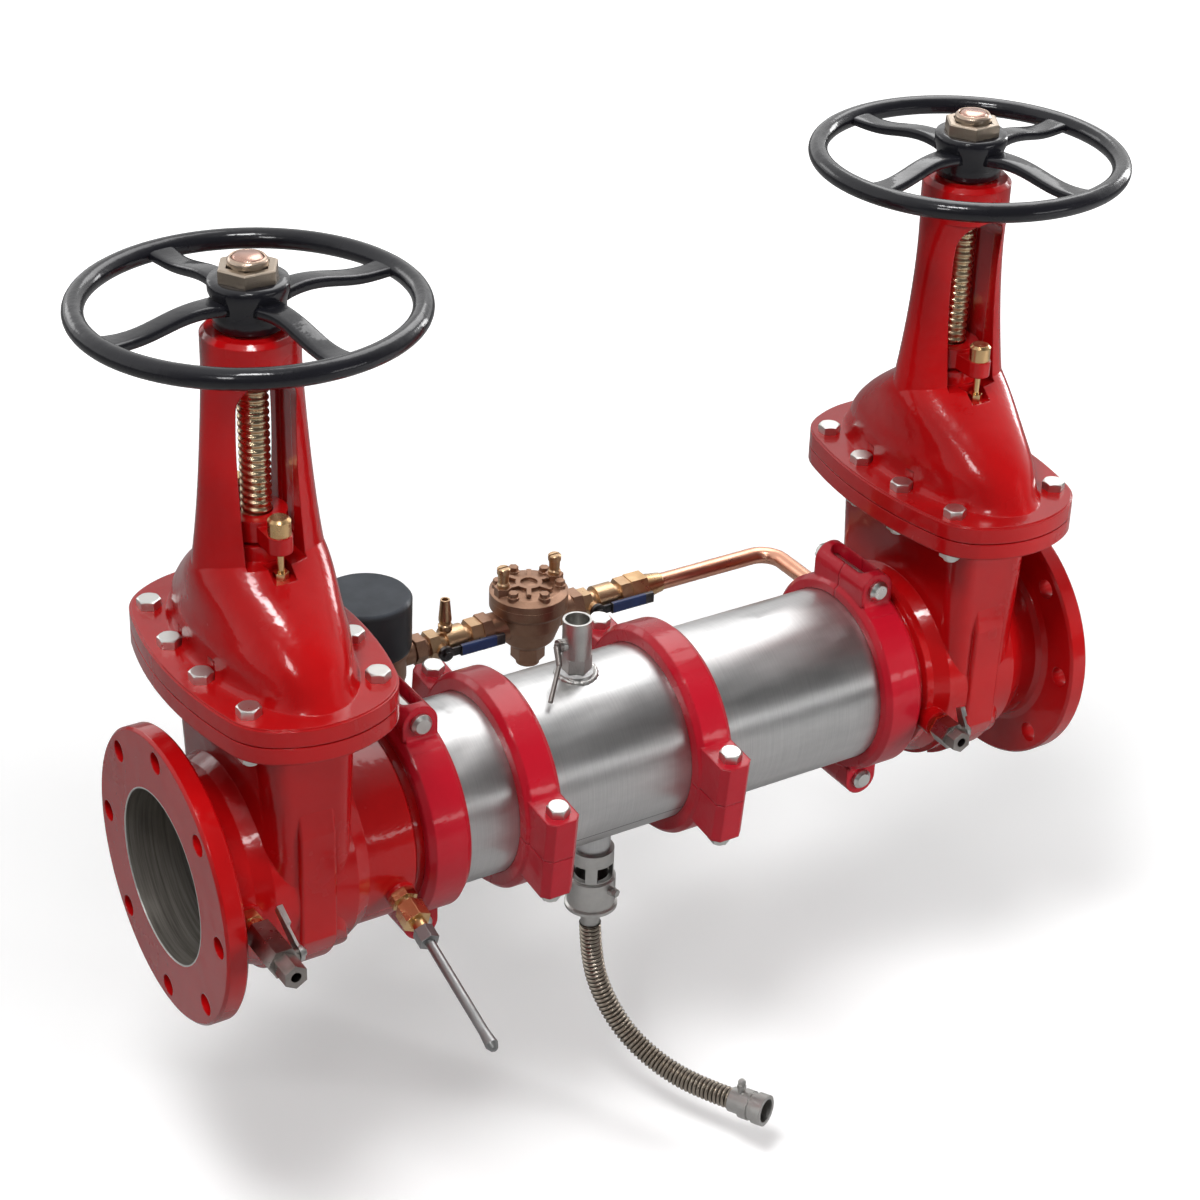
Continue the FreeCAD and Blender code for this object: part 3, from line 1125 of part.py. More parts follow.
def meter_body():
    """Bronze water meter: bowl with a threaded spigot at each end."""
    c = at_bypass(METER_X)
    bowl = revolve_z([(0, -8.0), (34.0, -8.0), (46.0, 4.0), (50.0, 18.0), (50.0, METER_CAP_Z - 5.0),
                      (METER_R - 2.0, METER_CAP_Z - 5.0), (METER_R - 2.0, METER_CAP_Z),
                      (0, METER_CAP_Z)], METER_X, BYPASS_Y)
    end = at_bypass(UPSTREAM_X)
    spigots = cyl(BARREL_R, c - X * METER_HALF_L, c + X * METER_HALF_L)
    neck = cyl(BARREL_R - 4.0, c, end)
    collar = hexagon(FITTING_AF, end - X * 20.0, end - X * 6.0)
    return fuse([bowl, spigots, neck, collar])


def meter_register():
    """Closed black register cap on top of the meter."""
    top = METER_CAP_Z + METER_CAP_H
    return revolve_z([(0, METER_CAP_Z), (METER_R - 1.0, METER_CAP_Z), (METER_R, METER_CAP_Z + 4.0),
                      (METER_R + 1.0, top - 5.0), (METER_R - 3.0, top), (0, top)],
                     METER_X, BYPASS_Y)


def ball_valve(x0, pivot_x):
    """Small bronze ball valve along X with its stem boss towards -Y."""
    x1 = x0 + VALVE_L
    parts = [hexagon(FITTING_AF, at_bypass(x0), at_bypass(x0 + 14.0)),
             cyl(BARREL_R - 3.0, at_bypass(x0 + 13.0), at_bypass(x1 - 15.0)),
             cyl(BARREL_R + 2.0, at_bypass(x0 + 24.0), at_bypass(x1 - 24.0)),
             hexagon(FITTING_AF + 2.0, at_bypass(x1 - 16.0), at_bypass(x1)),
             cyl(8.0, at_bypass(pivot_x), Vector(pivot_x, LEVER_Y + LEVER_T + 1.0, BYPASS_Z))]
    return fuse(parts)


def ball_valve_lever(pivot_x):
    """Flat lever lying along the pipe when open, with its nut."""
    y1 = LEVER_Y + LEVER_T + 0.7
    y0 = y1 - LEVER_T
    half = 0.5 * LEVER_W
    x_end = pivot_x + LEVER_L
    parts = [cyl(10.0, Vector(pivot_x, y0, BYPASS_Z), Vector(pivot_x, y1, BYPASS_Z)),
             box(pivot_x, pivot_x + 28.0, y0 + 1.0, y1 - 1.0, BYPASS_Z - half + 1, BYPASS_Z + half - 1),
             rounded_grip(pivot_x + 20.0, x_end, y0, y1),
             hexagon(10.0, Vector(pivot_x, y0, BYPASS_Z), Vector(pivot_x, y0 - 5.0, BYPASS_Z))]
    return fuse(parts)


def rounded_grip(x0, x1, y0, y1):
    half = 0.5 * LEVER_W + 1.0
    grip = box(x0, x1, y0 - 2.0, y1 + 0.0, BYPASS_Z - half, BYPASS_Z + half)
    long_edges = [e for e in grip.Edges if abs(e.tangentAt(e.FirstParameter).x) > 0.99]
    return grip.makeFillet(2.4, long_edges)


def device_body():
    """Body of the small reduced pressure device: bowl, two necks and the relief outlet."""
    bowl = revolve_z([(0, -2.0), (24.0, -2.0), (34.0, 8.0), (42.0, 30.0), (45.0, 48.0),
                      (DEVICE_R, 54.0), (DEVICE_R, DEVICE_COVER_Z), (0, DEVICE_COVER_Z)],
                     DEVICE_X, BYPASS_Y)
    x0 = DEVICE_X - DEVICE_HALF_L
    x1 = DEVICE_X + DEVICE_HALF_L
    parts = [bowl, cyl(20.0, at_bypass(x0 + 12.0), at_bypass(x1 - 12.0)),
             hexagon(FITTING_AF + 6.0, at_bypass(x0), at_bypass(x0 + 14.0)),
             hexagon(FITTING_AF + 6.0, at_bypass(x1 - 14.0), at_bypass(x1)),
             hexagon(38.0, Vector(DEVICE_X, BYPASS_Y, -22.0), Vector(DEVICE_X, BYPASS_Y, -2.0)),
             cyl(15.0, Vector(DEVICE_X, BYPASS_Y, -30.0), Vector(DEVICE_X, BYPASS_Y, -21.0))]
    mouth = cyl(11.0, Vector(DEVICE_X, BYPASS_Y, -31.0), Vector(DEVICE_X, BYPASS_Y, -12.0))
    return fuse(parts).cut(mouth)


def device_cover():
    """Cast cover with bolt lugs round its edge and raised bosses on top."""
    z1 = DEVICE_COVER_Z + DEVICE_COVER_H
    parts = [revolve_z([(0, DEVICE_COVER_Z), (DEVICE_R, DEVICE_COVER_Z), (DEVICE_R, z1 - 8.0),
                        (DEVICE_R - 9.0, z1 - 3.0), (0, z1)], DEVICE_X, BYPASS_Y)]
    for i in range(6):
        a = math.radians(60.0 * i + 30.0)
        cx = DEVICE_X + 39.0 * math.cos(a)
        cy = BYPASS_Y + 39.0 * math.sin(a)
        parts.append(cyl(7.5, Vector(cx, cy, DEVICE_COVER_Z), Vector(cx, cy, z1)))
        parts.append(hexagon(11.0, Vector(cx, cy, z1), Vector(cx, cy, z1 + 6.0)))
    centre = Vector(DEVICE_X, BYPASS_Y, z1)
    parts.append(tube(17.0, 11.0, centre - Z, centre + Z * RAISED_RIB_H))
    for i in range(6):
        bar = box(15.0, 33.0, -3.0, 3.0, -1.0, RAISED_RIB_H)
        bar.rotate(ORIGIN, Z, 60.0 * i)
        bar.translate(centre)
        parts.append(bar)
    for sx in (1, -1):
        x = DEVICE_X + sx * DEVICE_COCK_X
        parts.append(hexagon(20.0, Vector(x, BYPASS_Y, DEVICE_COVER_Z),
                             Vector(x, BYPASS_Y, z1 + COCK_BOSS_H)))
    return fuse(parts)


def cone_cock(x, y, z0, height):
    """Small upright test cock: tapered barrel with a bored tip."""
    body = revolve_z([(4.0, z0 + height - 10.0), (0.0, z0 + height - 10.0), (0, z0), (9.0, z0),
                      (9.0, z0 + 6.0), (7.0, z0 + 8.0), (8.5, z0 + 14.0), (6.0, z0 + height),
                      (4.0, z0 + height)], x, y)
    return body


def stub_cock(x, y, z0, height):
    """Short thick test cock with a slotted screw head."""
    body = revolve_z([(0, z0), (8.0, z0), (8.0, z0 + 4.0), (6.6, z0 + 6.0), (7.2, z0 + height - 9.0),
                      (8.4, z0 + height - 8.0), (8.4, z0 + height - 1.5), (6.9, z0 + height),
                      (0, z0 + height)], x, y)
    return body.cut(box(x - 10.0, x + 10.0, y - 1.2, y + 1.2, z0 + height - 4.0, z0 + height + 1))


def bypass_test_cocks():
    cover_top = DEVICE_COVER_Z + DEVICE_COVER_H + COCK_BOSS_H
    return [cone_cock(UPSTREAM_X + 27.0, BYPASS_Y, BYPASS_Z + BARREL_R + 2.0, 42.0),
            stub_cock(DEVICE_X - DEVICE_COCK_X, BYPASS_Y, cover_top, 27.0),
            stub_cock(DEVICE_X + DEVICE_COCK_X, BYPASS_Y, cover_top, 27.0)]


def bypass_tube(x_start):
    """Union, copper tube with one bend, and the fitting on the outlet casting."""
    bend = BYPASS_BEND_R
    corner = at_bypass(BYPASS_OUT_X)
    tube_start = x_start + UNION_L - 6.0
    a = at_bypass(tube_start)
    b = corner - X * bend
    mid = corner - X * bend + Y * -bend + Vector(bend * math.sin(math.radians(45)),
                                                 bend * math.cos(math.radians(45)), 0)
    c = corner - Y * bend
    d = Vector(BYPASS_OUT_X, REAR_BOSS_Y + 16.0, BYPASS_Z)
    path = Part.Wire([Part.LineSegment(a, b).toShape(), Part.Arc(b, mid, c).toShape(),
                      Part.LineSegment(c, d).toShape()])
    pipe = swept_bar(path, BYPASS_TUBE_R, a, X)
    parts = [pipe, hexagon(FITTING_AF + 4.0, at_bypass(x_start), at_bypass(x_start + 24.0)),
             cone(BARREL_R, BYPASS_TUBE_R + 1.5, at_bypass(x_start + 23.0),
                  at_bypass(x_start + UNION_L)),
             hexagon(FITTING_AF, d - Y * 16.0, d)]
    return fuse(parts)


UPSTREAM_X = METER_X + METER_HALF_L + 22.0
DOWNSTREAM_X = DEVICE_X + DEVICE_HALF_L


def write(name, solids):
    shape = solids if isinstance(solids, Part.Shape) else Part.makeCompound(solids)
    if shape.ShapeType == "Compound" and len(shape.Solids) == 1:
        shape = shape.Solids[0]
    shape.exportStep("parts/%s.step" % name)


def both(draw):
    """Pieces of both valves as one group."""
    group = []
    for _, x, flip, _ in VALVES:
        for solid in draw():
            group.append(placed(solid, x, flip))
    return group


def main():
    os.makedirs("parts", exist_ok=True)
    inlet_body, outlet_body = valve_bodies()
    write("inlet_valve_body", inlet_body)
    write("outlet_valve_body", outlet_body)
    for name, x, flip, spoke_deg in VALVES:
        write(name + "_bonnet", placed(bonnet(), x, flip))
        write(name + "_wedge", placed(wedge(), x, flip))
        write(name + "_stem", placed(stem(), x, flip))
        write(name + "_yoke_nut", placed(yoke_nut(), x, flip))
        write(name + "_handwheel", placed(handwheel(spoke_deg), x, flip))
        write(name + "_wheel_nut", placed(wheel_nut(), x, flip))
    write("valve_seat_rings", both(seat_rings))
    write("bonnet_seals", both(lambda: [bonnet_gasket(), packing()]))
    write("bonnet_fasteners", both(bonnet_fasteners))
    write("gland_followers", both(lambda: [gland_follower()]))
    write("gland_studs", both(gland_studs))

    for name, x in (("inlet", INLET_GROOVE_X), ("outlet", OUTLET_GROOVE_X)):
        front, rear = end_coupling(x)
        write(name + "_coupling_front", front)
        write(name + "_coupling_rear", rear)
    for name, x in (("first", FIRST_CLAMP_X), ("second", SECOND_CLAMP_X)):
        upper, lower = clamp(x)
        write(name + "_clamp_upper", upper)
        write(name + "_clamp_lower", lower)
    write("coupling_gaskets", [coupling_gasket(x) for x in (
        INLET_GROOVE_X, FIRST_CLAMP_X, SECOND_CLAMP_X, OUTLET_GROOVE_X)])
    write("coupling_fasteners",
          end_coupling_bolts(INLET_GROOVE_X) + end_coupling_bolts(OUTLET_GROOVE_X)
          + clamp_bolts(FIRST_CLAMP_X) + clamp_bolts(SECOND_CLAMP_X))

    half = 0.5 * SEAT_FLANGE_T
    write("first_check_housing", housing(INLET_GROOVE_X + PIPE_GAP, FIRST_CLAMP_X - half))
    write("relief_housing", relief_housing(FIRST_CLAMP_X + half, SECOND_CLAMP_X - half))
    write("second_check_housing", housing(SECOND_CLAMP_X + half, OUTLET_GROOVE_X - PIPE_GAP))
    checks = (FIRST_CLAMP_X, SECOND_CLAMP_X)
    write("check_seats", [check_seat(x) for x in checks])
    write("first_clapper", clapper(FIRST_CLAMP_X))
    write("second_clapper", clapper(SECOND_CLAMP_X))
    write("check_pins", [check_pin(x) for x in checks])
    write("check_springs", [check_spring(x) for x in checks])

    write("air_gap_body", air_gap_body())
    write("drain_funnel", funnel())
    write("drain_hose", drain_hose())
    write("hose_end", hose_end())

    body, pivot, _ = cock_body(COCK_X, -BOSS_PROUD, COCK_Z, 30.0, 33.0, 60.0, 25.0, 28.0)
    write("inlet_cock_body", body)
    write("inlet_cock_lever", wing_lever(pivot, 52.0, 26.0))
    body, pivot, _ = cock_body(OUTLET_COCK_X, -REAR_BOSS_Y, OUTLET_COCK_Z, 6.0, 30.0, 26.0, 24.0, 16.0)
    write("outlet_cock_body", body)
    write("outlet_cock_lever", wing_lever(pivot, 14.0, 26.0))
    write("top_cock_body", top_cock())
    write("top_cock_lever", top_cock_lever())
    write("drain_fitting", drain_fitting())
    write("drain_tube", drain_tube())

    write("bypass_inlet_line", bypass_inlet_line())
    write("meter_body", meter_body())
    write("meter_register", meter_register())
    write("upstream_ball_valve", ball_valve(UPSTREAM_X, UPSTREAM_X + 14.0))
    write("upstream_valve_lever", ball_valve_lever(UPSTREAM_X + 14.0))
    write("bypass_device_body", device_body())
    write("bypass_device_cover", device_cover())
    write("bypass_test_cocks", bypass_test_cocks())
    write("downstream_ball_valve", ball_valve(DOWNSTREAM_X, DOWNSTREAM_X + 14.0))
    write("downstream_valve_lever", ball_valve_lever(DOWNSTREAM_X + 14.0))
    write("bypass_tube", bypass_tube(DOWNSTREAM_X + VALVE_L))


main()
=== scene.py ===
import math

import bmesh
import bpy
from mathutils import Matrix, Vector

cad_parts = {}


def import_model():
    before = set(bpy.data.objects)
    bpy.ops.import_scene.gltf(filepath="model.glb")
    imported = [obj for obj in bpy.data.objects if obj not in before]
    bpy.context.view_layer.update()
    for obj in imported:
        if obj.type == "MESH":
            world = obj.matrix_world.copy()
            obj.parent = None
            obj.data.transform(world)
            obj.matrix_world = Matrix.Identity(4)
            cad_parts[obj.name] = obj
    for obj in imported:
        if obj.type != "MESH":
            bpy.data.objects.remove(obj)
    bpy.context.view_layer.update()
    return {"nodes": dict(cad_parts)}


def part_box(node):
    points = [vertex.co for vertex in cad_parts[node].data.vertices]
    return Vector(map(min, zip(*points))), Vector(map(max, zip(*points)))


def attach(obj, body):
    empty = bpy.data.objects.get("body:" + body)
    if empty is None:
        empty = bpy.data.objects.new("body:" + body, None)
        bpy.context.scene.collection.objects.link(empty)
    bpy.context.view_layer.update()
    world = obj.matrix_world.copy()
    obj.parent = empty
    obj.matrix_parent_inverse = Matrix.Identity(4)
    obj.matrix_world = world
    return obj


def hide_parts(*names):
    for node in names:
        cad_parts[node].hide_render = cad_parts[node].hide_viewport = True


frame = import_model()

NODES = frame["nodes"]

# Sizes and places that follow the CAD source, in metres
PIPE_R = 0.110
BORE_R = 0.1016
FACE_X = {"inlet": 0.0, "outlet": 1.179}
STEM_X = {"inlet": 0.130, "outlet": 1.049}
STEM_R = 0.017
STEM_BOTTOM = 0.0885
STEM_TOP = 0.715
THREAD_LEAD = 0.0085
WHEEL_Z = 0.660
WHEEL_R = 0.176
RIM_R = 0.0113
HUB_BOTTOM = 0.640
HUB_TOP = 0.690
YOKE_NUT_R = 0.021
NUT_FLATS = 0.058
SPOKES = 4
SPOKE_TURN = {"inlet": math.radians(8.0), "outlet": math.radians(13.0)}
RELIEF_X = 0.562
TOP_COCK_X = 0.531
HOSE_HEADING = math.radians(27.0)
HOSE_ROUTE = ((0.0, -0.2627), (0.003, -0.318), (0.023, -0.370), (0.060, -0.414),
              (0.109, -0.440), (0.163, -0.450), (0.214, -0.447))
HOSE_R = 0.014

# Detail that only the scene has, in metres; SKIN keeps it inside the solid that it stands for
SKIN = 0.0001
THREAD_BOTTOM = 0.415
THREAD_TOP = STEM_TOP - 0.002
THREAD_DEPTH = 0.0022
THREAD_RUN_IN = 0.006
THREAD_STEPS = 9
STEM_SIDES = 56
STEM_FOOT_R = STEM_R - 0.003
STEM_END = ((STEM_TOP - 0.0015, STEM_R - 0.0028), (STEM_TOP, STEM_R - 0.0045))
ROSY_FROM_Z = 0.655
ROSY_FULL_Z = 0.668
SPOKE_ROOT_R = 0.034
SPOKE_END_R = WHEEL_R - 0.004
SPOKE_SINK = 0.0065
SPOKE_WAVE = 0.0036
SPOKE_HALF_W = 0.0126
SPOKE_FLARE = 0.0052
SPOKE_HALF_T = 0.0068
SPOKE_THINNING = 0.0014
SPOKE_SQUARENESS = 0.42
NUT_TOP = 0.7045
HOSE_PITCH = 0.0058
HOSE_RIB = 0.0024
HOSE_STEPS = 8
# Steps of each hose pitch coloured near black: painted shade in the valleys
HOSE_SHADED_VALLEY_STEPS = (3, 4)
BORE_BARE = 0.0016
BORE_LIP = 0.0012
SEAM_X = (0.45, 0.645)
SEAM_ANGLE = math.radians(-30.5)
SEAM_HALF_ANGLE = 0.009
GRIP_X = {"upstream": (0.501, 0.550), "downstream": (0.721, 0.770)}
NIPPLE_END_Y = {"inlet": -0.150, "outlet": -0.140}
UNION_LENGTH = 0.05
REAR_FITTING_LENGTH = 0.0165
REGISTER_EDGE = (0.004, 0.001)

# The studio: strengths where 1 is white, and distances in metres
FLOOR_PLACE = (0.6, 0.0, -0.52)
FLOOR_HALF = 14.0
FLOOR_SEEN = 0.95
FLOOR_BOUNCED = 0.42
GLOW_NEAR = 0.08
GLOW_FAR = 0.9
GLOW_DISTANCES = (0.7, 3.0)
ROOM_FRONT = 0.11
ROOM_BACK = 0.95
ROOM_EDGES = (-0.55, 0.15)
AMBIENT_LOW = 0.12
AMBIENT_HIGH = 0.34
STUDIO_CENTRE = (0.58, 0.0, 0.15)

# The camera, solved from the photograph
LENS = 83.556
SENSOR = 36.0
CAMERA_PLACE = (-0.948, -2.375, 1.804)
CAMERA_AZIMUTH = math.radians(32.43)
CAMERA_ELEVATION = math.radians(29.70)
CAMERA_ROLL = math.radians(1.914)


# Materials

RED = (0.40, 0.003, 0.004)
RED_DEEP = (0.32, 0.002, 0.003)


class Shader:
    """One node material on a Principled shader, in the object's own coordinates."""

    def __init__(self, name):
        self.material = bpy.data.materials.new(name)
        self.material.use_nodes = True
        self.nodes = self.material.node_tree.nodes
        self.links = self.material.node_tree.links
        self.bsdf = self.nodes["Principled BSDF"]
        self.coords = self.nodes.new("ShaderNodeTexCoord").outputs["Object"]

    def join(self, source, target):
        self.links.new(source, target)

    def put(self, name, value):
        """Sets an input of the Principled shader to a constant or to a socket."""
        if isinstance(value, float):
            self.bsdf.inputs[name].default_value = value
        else:
            self.join(value, self.bsdf.inputs[name])

    def source(self, name):
        """The socket that feeds an input of the Principled shader so far."""
        return self.bsdf.inputs[name].links[0].from_socket

    def math(self, operation, a, b=0.0, c=0.0):
        node = self.nodes.new("ShaderNodeMath")
        node.operation = operation
        for socket, value in zip(node.inputs, (a, b, c)):
            if isinstance(value, (int, float)):
                socket.default_value = value
            else:
                self.join(value, socket)
        return node.outputs[0]

    def stretched(self, scale):
        """Object coordinates scaled by axis."""
        node = self.nodes.new("ShaderNodeMapping")
        node.inputs["Scale"].default_value = scale
        self.join(self.coords, node.inputs["Vector"])
        return node.outputs["Vector"]

    def noise(self, scale, detail=3.0, rough=0.5, vector=None):
        node = self.nodes.new("ShaderNodeTexNoise")
        node.inputs["Scale"].default_value = scale
        node.inputs["Detail"].default_value = detail
        node.inputs["Roughness"].default_value = rough
        self.join(vector or self.coords, node.inputs["Vector"])
        return node.outputs["Fac"]

    def span(self, value, low, high, out_low, out_high):
        node = self.nodes.new("ShaderNodeMapRange")
        for socket, number in zip(list(node.inputs)[1:5], (low, high, out_low, out_high)):
            socket.default_value = number
        self.join(value, node.inputs[0])
        return node.outputs[0]

    def mix(self, factor, a, b):
        node = self.nodes.new("ShaderNodeMix")
        node.data_type = "RGBA"
        self.join(factor, node.inputs["Factor"])
        for socket, value in ((node.inputs[6], a), (node.inputs[7], b)):
            if isinstance(value, tuple):
                socket.default_value = value + (1.0,)
            else:
                self.join(value, socket)
        return node.outputs[2]

    def clouded(self, cloud, a, b):
        """Two colours that drift into each other over the middle range of a noise."""
        return self.mix(self.span(cloud, 0.3, 0.7, 0.0, 1.0), a, b)

    def within(self, value, low, high):
        """1 between low and high, 0 outside."""
        return self.math("MULTIPLY", self.math("GREATER_THAN", value, low),
                         self.math("LESS_THAN", value, high))

    def axes(self):
        node = self.nodes.new("ShaderNodeSeparateXYZ")
        self.join(self.coords, node.inputs[0])
        return node.outputs

    def bump(self, height, distance, round_edges):
        """Relief of the surface, over edges that look rounded by the given radius."""
        node = self.nodes.new("ShaderNodeBump")
        node.inputs["Strength"].default_value = 1.0
        node.inputs["Distance"].default_value = distance
        self.join(height, node.inputs["Height"])
        edge = self.nodes.new("ShaderNodeBevel")
        edge.samples = 4
        edge.inputs["Radius"].default_value = round_edges
        self.join(edge.outputs[0], node.inputs["Normal"])
        self.put("Normal", node.outputs[0])


def enamel(name, colour, deep, rough, coat=0.5, grain=200.0, lumps=0.0008, edge=0.0022):
    """Sprayed enamel on a casting: soft lumps, fine orange peel, a little colour drift."""
    s = Shader(name)
    drift = s.noise(9.0, 4.0, 0.6)
    s.put("Base Color", s.clouded(drift, colour, deep))
    peel = s.noise(grain, 2.0)
    cast = s.noise(38.0, 3.0)
    height = s.math("MULTIPLY_ADD", cast, 1.0, s.math("MULTIPLY", peel, 0.07))
    s.put("Roughness", s.span(drift, 0.3, 0.7, rough * 0.85, rough * 1.2))
    s.bump(height, lumps, edge)
    s.put("Coat Normal", s.source("Normal"))
    s.put("Coat Weight", coat)
    s.put("Coat Roughness", 0.08)
    s.put("Specular IOR Level", 0.15)
    return s


def metal(name, colour, stain, rough, grain=90.0, depth=0.00003, edge=0.0008):
    """Bare metal with uneven tarnish and a fine cast or turned grain."""
    s = Shader(name)
    tarnish = s.noise(24.0, 5.0, 0.65)
    s.put("Base Color", s.mix(s.span(tarnish, 0.35, 0.75, 0.0, 0.5), colour, stain))
    fine = s.noise(grain * 6.0, 3.0, 0.6)
    s.put("Roughness", s.span(tarnish, 0.3, 0.7, rough * 0.75, rough * 1.3))
    s.bump(fine, depth, edge)
    s.put("Metallic", 1.0)
    return s


def valve_enamel(name, face_x, outward):
    """Body enamel that gives way to bare metal in the bore and a bright ring at its mouth."""
    s = enamel(name, RED, RED_DEEP, 0.24, 0.55)
    x, y, z = s.axes()
    radius = s.math("SQRT", s.math("ADD", s.math("MULTIPLY", y, y), s.math("MULTIPLY", z, z)))
    bare = s.math("LESS_THAN", radius, BORE_R + BORE_BARE)
    streak = s.noise(1.0, 4.0, 0.7, s.stretched((260.0, 7.0, 7.0)))
    iron = s.clouded(streak, (0.36, 0.335, 0.30), (0.14, 0.125, 0.11))
    depth = s.math("MULTIPLY", s.math("SUBTRACT", x, face_x), outward)
    lip = s.math("GREATER_THAN", depth, -BORE_LIP)
    inside = s.mix(lip, iron, (0.66, 0.65, 0.62))
    paint = s.source("Base Color")
    s.put("Base Color", s.mix(bare, paint, inside))
    s.put("Metallic", s.math("MULTIPLY", bare, 0.7))
    gloss = s.source("Roughness")
    s.put("Roughness", s.math("MAXIMUM", gloss, s.math("MULTIPLY", bare, 0.3)))
    return s


def brushed_pipe(name, seam=False):
    """Stainless tube brushed round its axis; with seam set, a weld line runs along it."""
    s = Shader(name)
    lines = s.noise(1.0, 3.0, 0.7, s.stretched((1500.0, 14.0, 14.0)))
    cloud = s.noise(1.0, 4.0, 0.6, s.stretched((5.0, 16.0, 16.0)))
    tone = s.math("MULTIPLY_ADD", lines, 0.35, s.math("MULTIPLY", cloud, 0.65))
    base = s.mix(s.span(tone, 0.35, 0.65, 0.0, 1.0), (0.44, 0.44, 0.44), (0.66, 0.655, 0.65))
    if seam:
        x, y, z = s.axes()
        angle = s.math("ARCTAN2", z, s.math("MULTIPLY", y, -1.0))
        off = s.math("ABSOLUTE", s.math("SUBTRACT", angle, SEAM_ANGLE))
        on_line = s.math("LESS_THAN", off, SEAM_HALF_ANGLE)
        line = s.math("MULTIPLY", on_line, s.within(x, *SEAM_X))
        base = s.mix(line, base, (0.14, 0.14, 0.145))
    s.put("Base Color", base)
    s.put("Roughness", s.span(tone, 0.3, 0.7, 0.30, 0.46))
    s.bump(lines, 0.00005, 0.0006)
    s.put("Metallic", 1.0)
    s.put("Anisotropic", 0.55)
    return s


def blue_lever(name, grip_from, grip_to):
    """Dipped blue grip on a flat steel lever: the ends stay dark steel."""
    s = Shader(name)
    x, _, _ = s.axes()
    dipped = s.within(x, grip_from, grip_to)
    cloud = s.noise(60.0, 3.0)
    blue = s.clouded(cloud, (0.010, 0.022, 0.085), (0.016, 0.034, 0.125))
    steel = s.clouded(cloud, (0.13, 0.12, 0.12), (0.06, 0.06, 0.065))
    s.put("Base Color", s.mix(dipped, steel, blue))
    s.put("Metallic", s.math("SUBTRACT", 1.0, dipped))
    s.put("Roughness", s.span(cloud, 0.3, 0.7, 0.30, 0.44))
    s.bump(s.noise(400.0, 2.0), 0.0001, 0.001)
    return s


def register_look(name):
    """Black plastic register, paler and bluer over its top face."""
    s = enamel(name, (0.024, 0.025, 0.028), (0.017, 0.018, 0.02), 0.42, 0.1, 320.0, 0.0003, 0.003)
    _, _, z = s.axes()
    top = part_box("meter_register")[1][2]
    black = s.source("Base Color")
    # The top face is given a paler, bluer black than the sides
    paler_top = s.clouded(s.noise(30.0, 4.0), (0.060, 0.068, 0.080), (0.040, 0.046, 0.055))
    at_top = s.span(z, top - REGISTER_EDGE[0], top - REGISTER_EDGE[1], 0.0, 1.0)
    s.put("Base Color", s.mix(at_top, black, paler_top))
    return s


def stem_metal(name):
    """Greased yellow brass thread, rosier above the handwheel."""
    s = metal(name, (0.74, 0.60, 0.40), (0.34, 0.23, 0.12), 0.27)
    _, _, z = s.axes()
    cloud = s.noise(50.0, 3.0)
    rosy = s.clouded(cloud, (0.60, 0.38, 0.31), (0.42, 0.25, 0.20))
    yellow = s.source("Base Color")
    s.put("Base Color", s.mix(s.span(z, ROSY_FROM_Z, ROSY_FULL_Z, 0.0, 1.0), yellow, rosy))
    return s


def cock_metal(name, nipple_end):
    """Brass nipple near the pipe, dull dark body further out along -Y."""
    s = metal(name, (0.74, 0.46, 0.22), (0.46, 0.24, 0.10), 0.3)
    _, y, _ = s.axes()
    outer = s.math("LESS_THAN", y, nipple_end)
    gold = s.source("Base Color")
    cloud = s.noise(40.0, 3.0)
    dull = s.clouded(cloud, (0.40, 0.37, 0.35), (0.22, 0.19, 0.175))
    s.put("Base Color", s.mix(outer, gold, dull))
    return s


def tube_and_copper(name):
    """Copper tube between a brass union and a brass fitting."""
    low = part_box("bypass_tube")[0]
    s = metal(name, (0.80, 0.42, 0.29), (0.60, 0.27, 0.17), 0.3, 20.0, 0.00001)
    x, y, _ = s.axes()
    ends = s.math("MAXIMUM", s.math("LESS_THAN", x, low[0] + UNION_LENGTH),
                  s.math("LESS_THAN", y, low[1] + REAR_FITTING_LENGTH))
    tube_colour = s.source("Base Color")
    cloud = s.noise(50.0, 3.0)
    gold = s.clouded(cloud, (0.74, 0.50, 0.28), (0.52, 0.31, 0.15))
    s.put("Base Color", s.mix(ends, tube_colour, gold))
    return s


red_inlet = valve_enamel("valve_red_inlet", FACE_X["inlet"], -1.0)
red_outlet = valve_enamel("valve_red_outlet", FACE_X["outlet"], 1.0)
red_bonnet = enamel("valve_red", RED, RED_DEEP, 0.24, 0.55)
crimson = enamel("coupling_red", (0.42, 0.006, 0.018), (0.35, 0.005, 0.014), 0.3, 0.4,
                 edge=0.004)
wheel_black = enamel("wheel_black", (0.009, 0.009, 0.012), (0.006, 0.006, 0.008), 0.26, 0.6,
                     180.0, 0.0009, 0.002)
bronze = metal("bronze", (0.37, 0.22, 0.15), (0.20, 0.11, 0.068), 0.42, 60.0, 0.0003, 0.0015)
bronze_nut = metal("bronze_nut", (0.50, 0.42, 0.34), (0.30, 0.23, 0.17), 0.34, 70.0, 0.0003, 0.001)
rosy_bronze = metal("rosy_bronze", (0.56, 0.42, 0.33), (0.34, 0.22, 0.16), 0.3)
brass = metal("brass", (0.78, 0.52, 0.26), (0.50, 0.27, 0.11), 0.26)
gold_bronze = metal("gold_bronze", (0.62, 0.42, 0.25), (0.36, 0.20, 0.11), 0.34, 70.0, 0.0003)
zinc = metal("zinc", (0.68, 0.675, 0.65), (0.48, 0.47, 0.44), 0.34)
cast_steel = metal("stainless_cast", (0.56, 0.55, 0.53), (0.33, 0.32, 0.31), 0.36, 80.0, 0.0003, 0.001)
dull_tube = metal("dull_tube", (0.33, 0.33, 0.33), (0.20, 0.20, 0.20), 0.4, 40.0)
dark_steel = metal("dark_steel", (0.30, 0.275, 0.26), (0.17, 0.15, 0.14), 0.36)
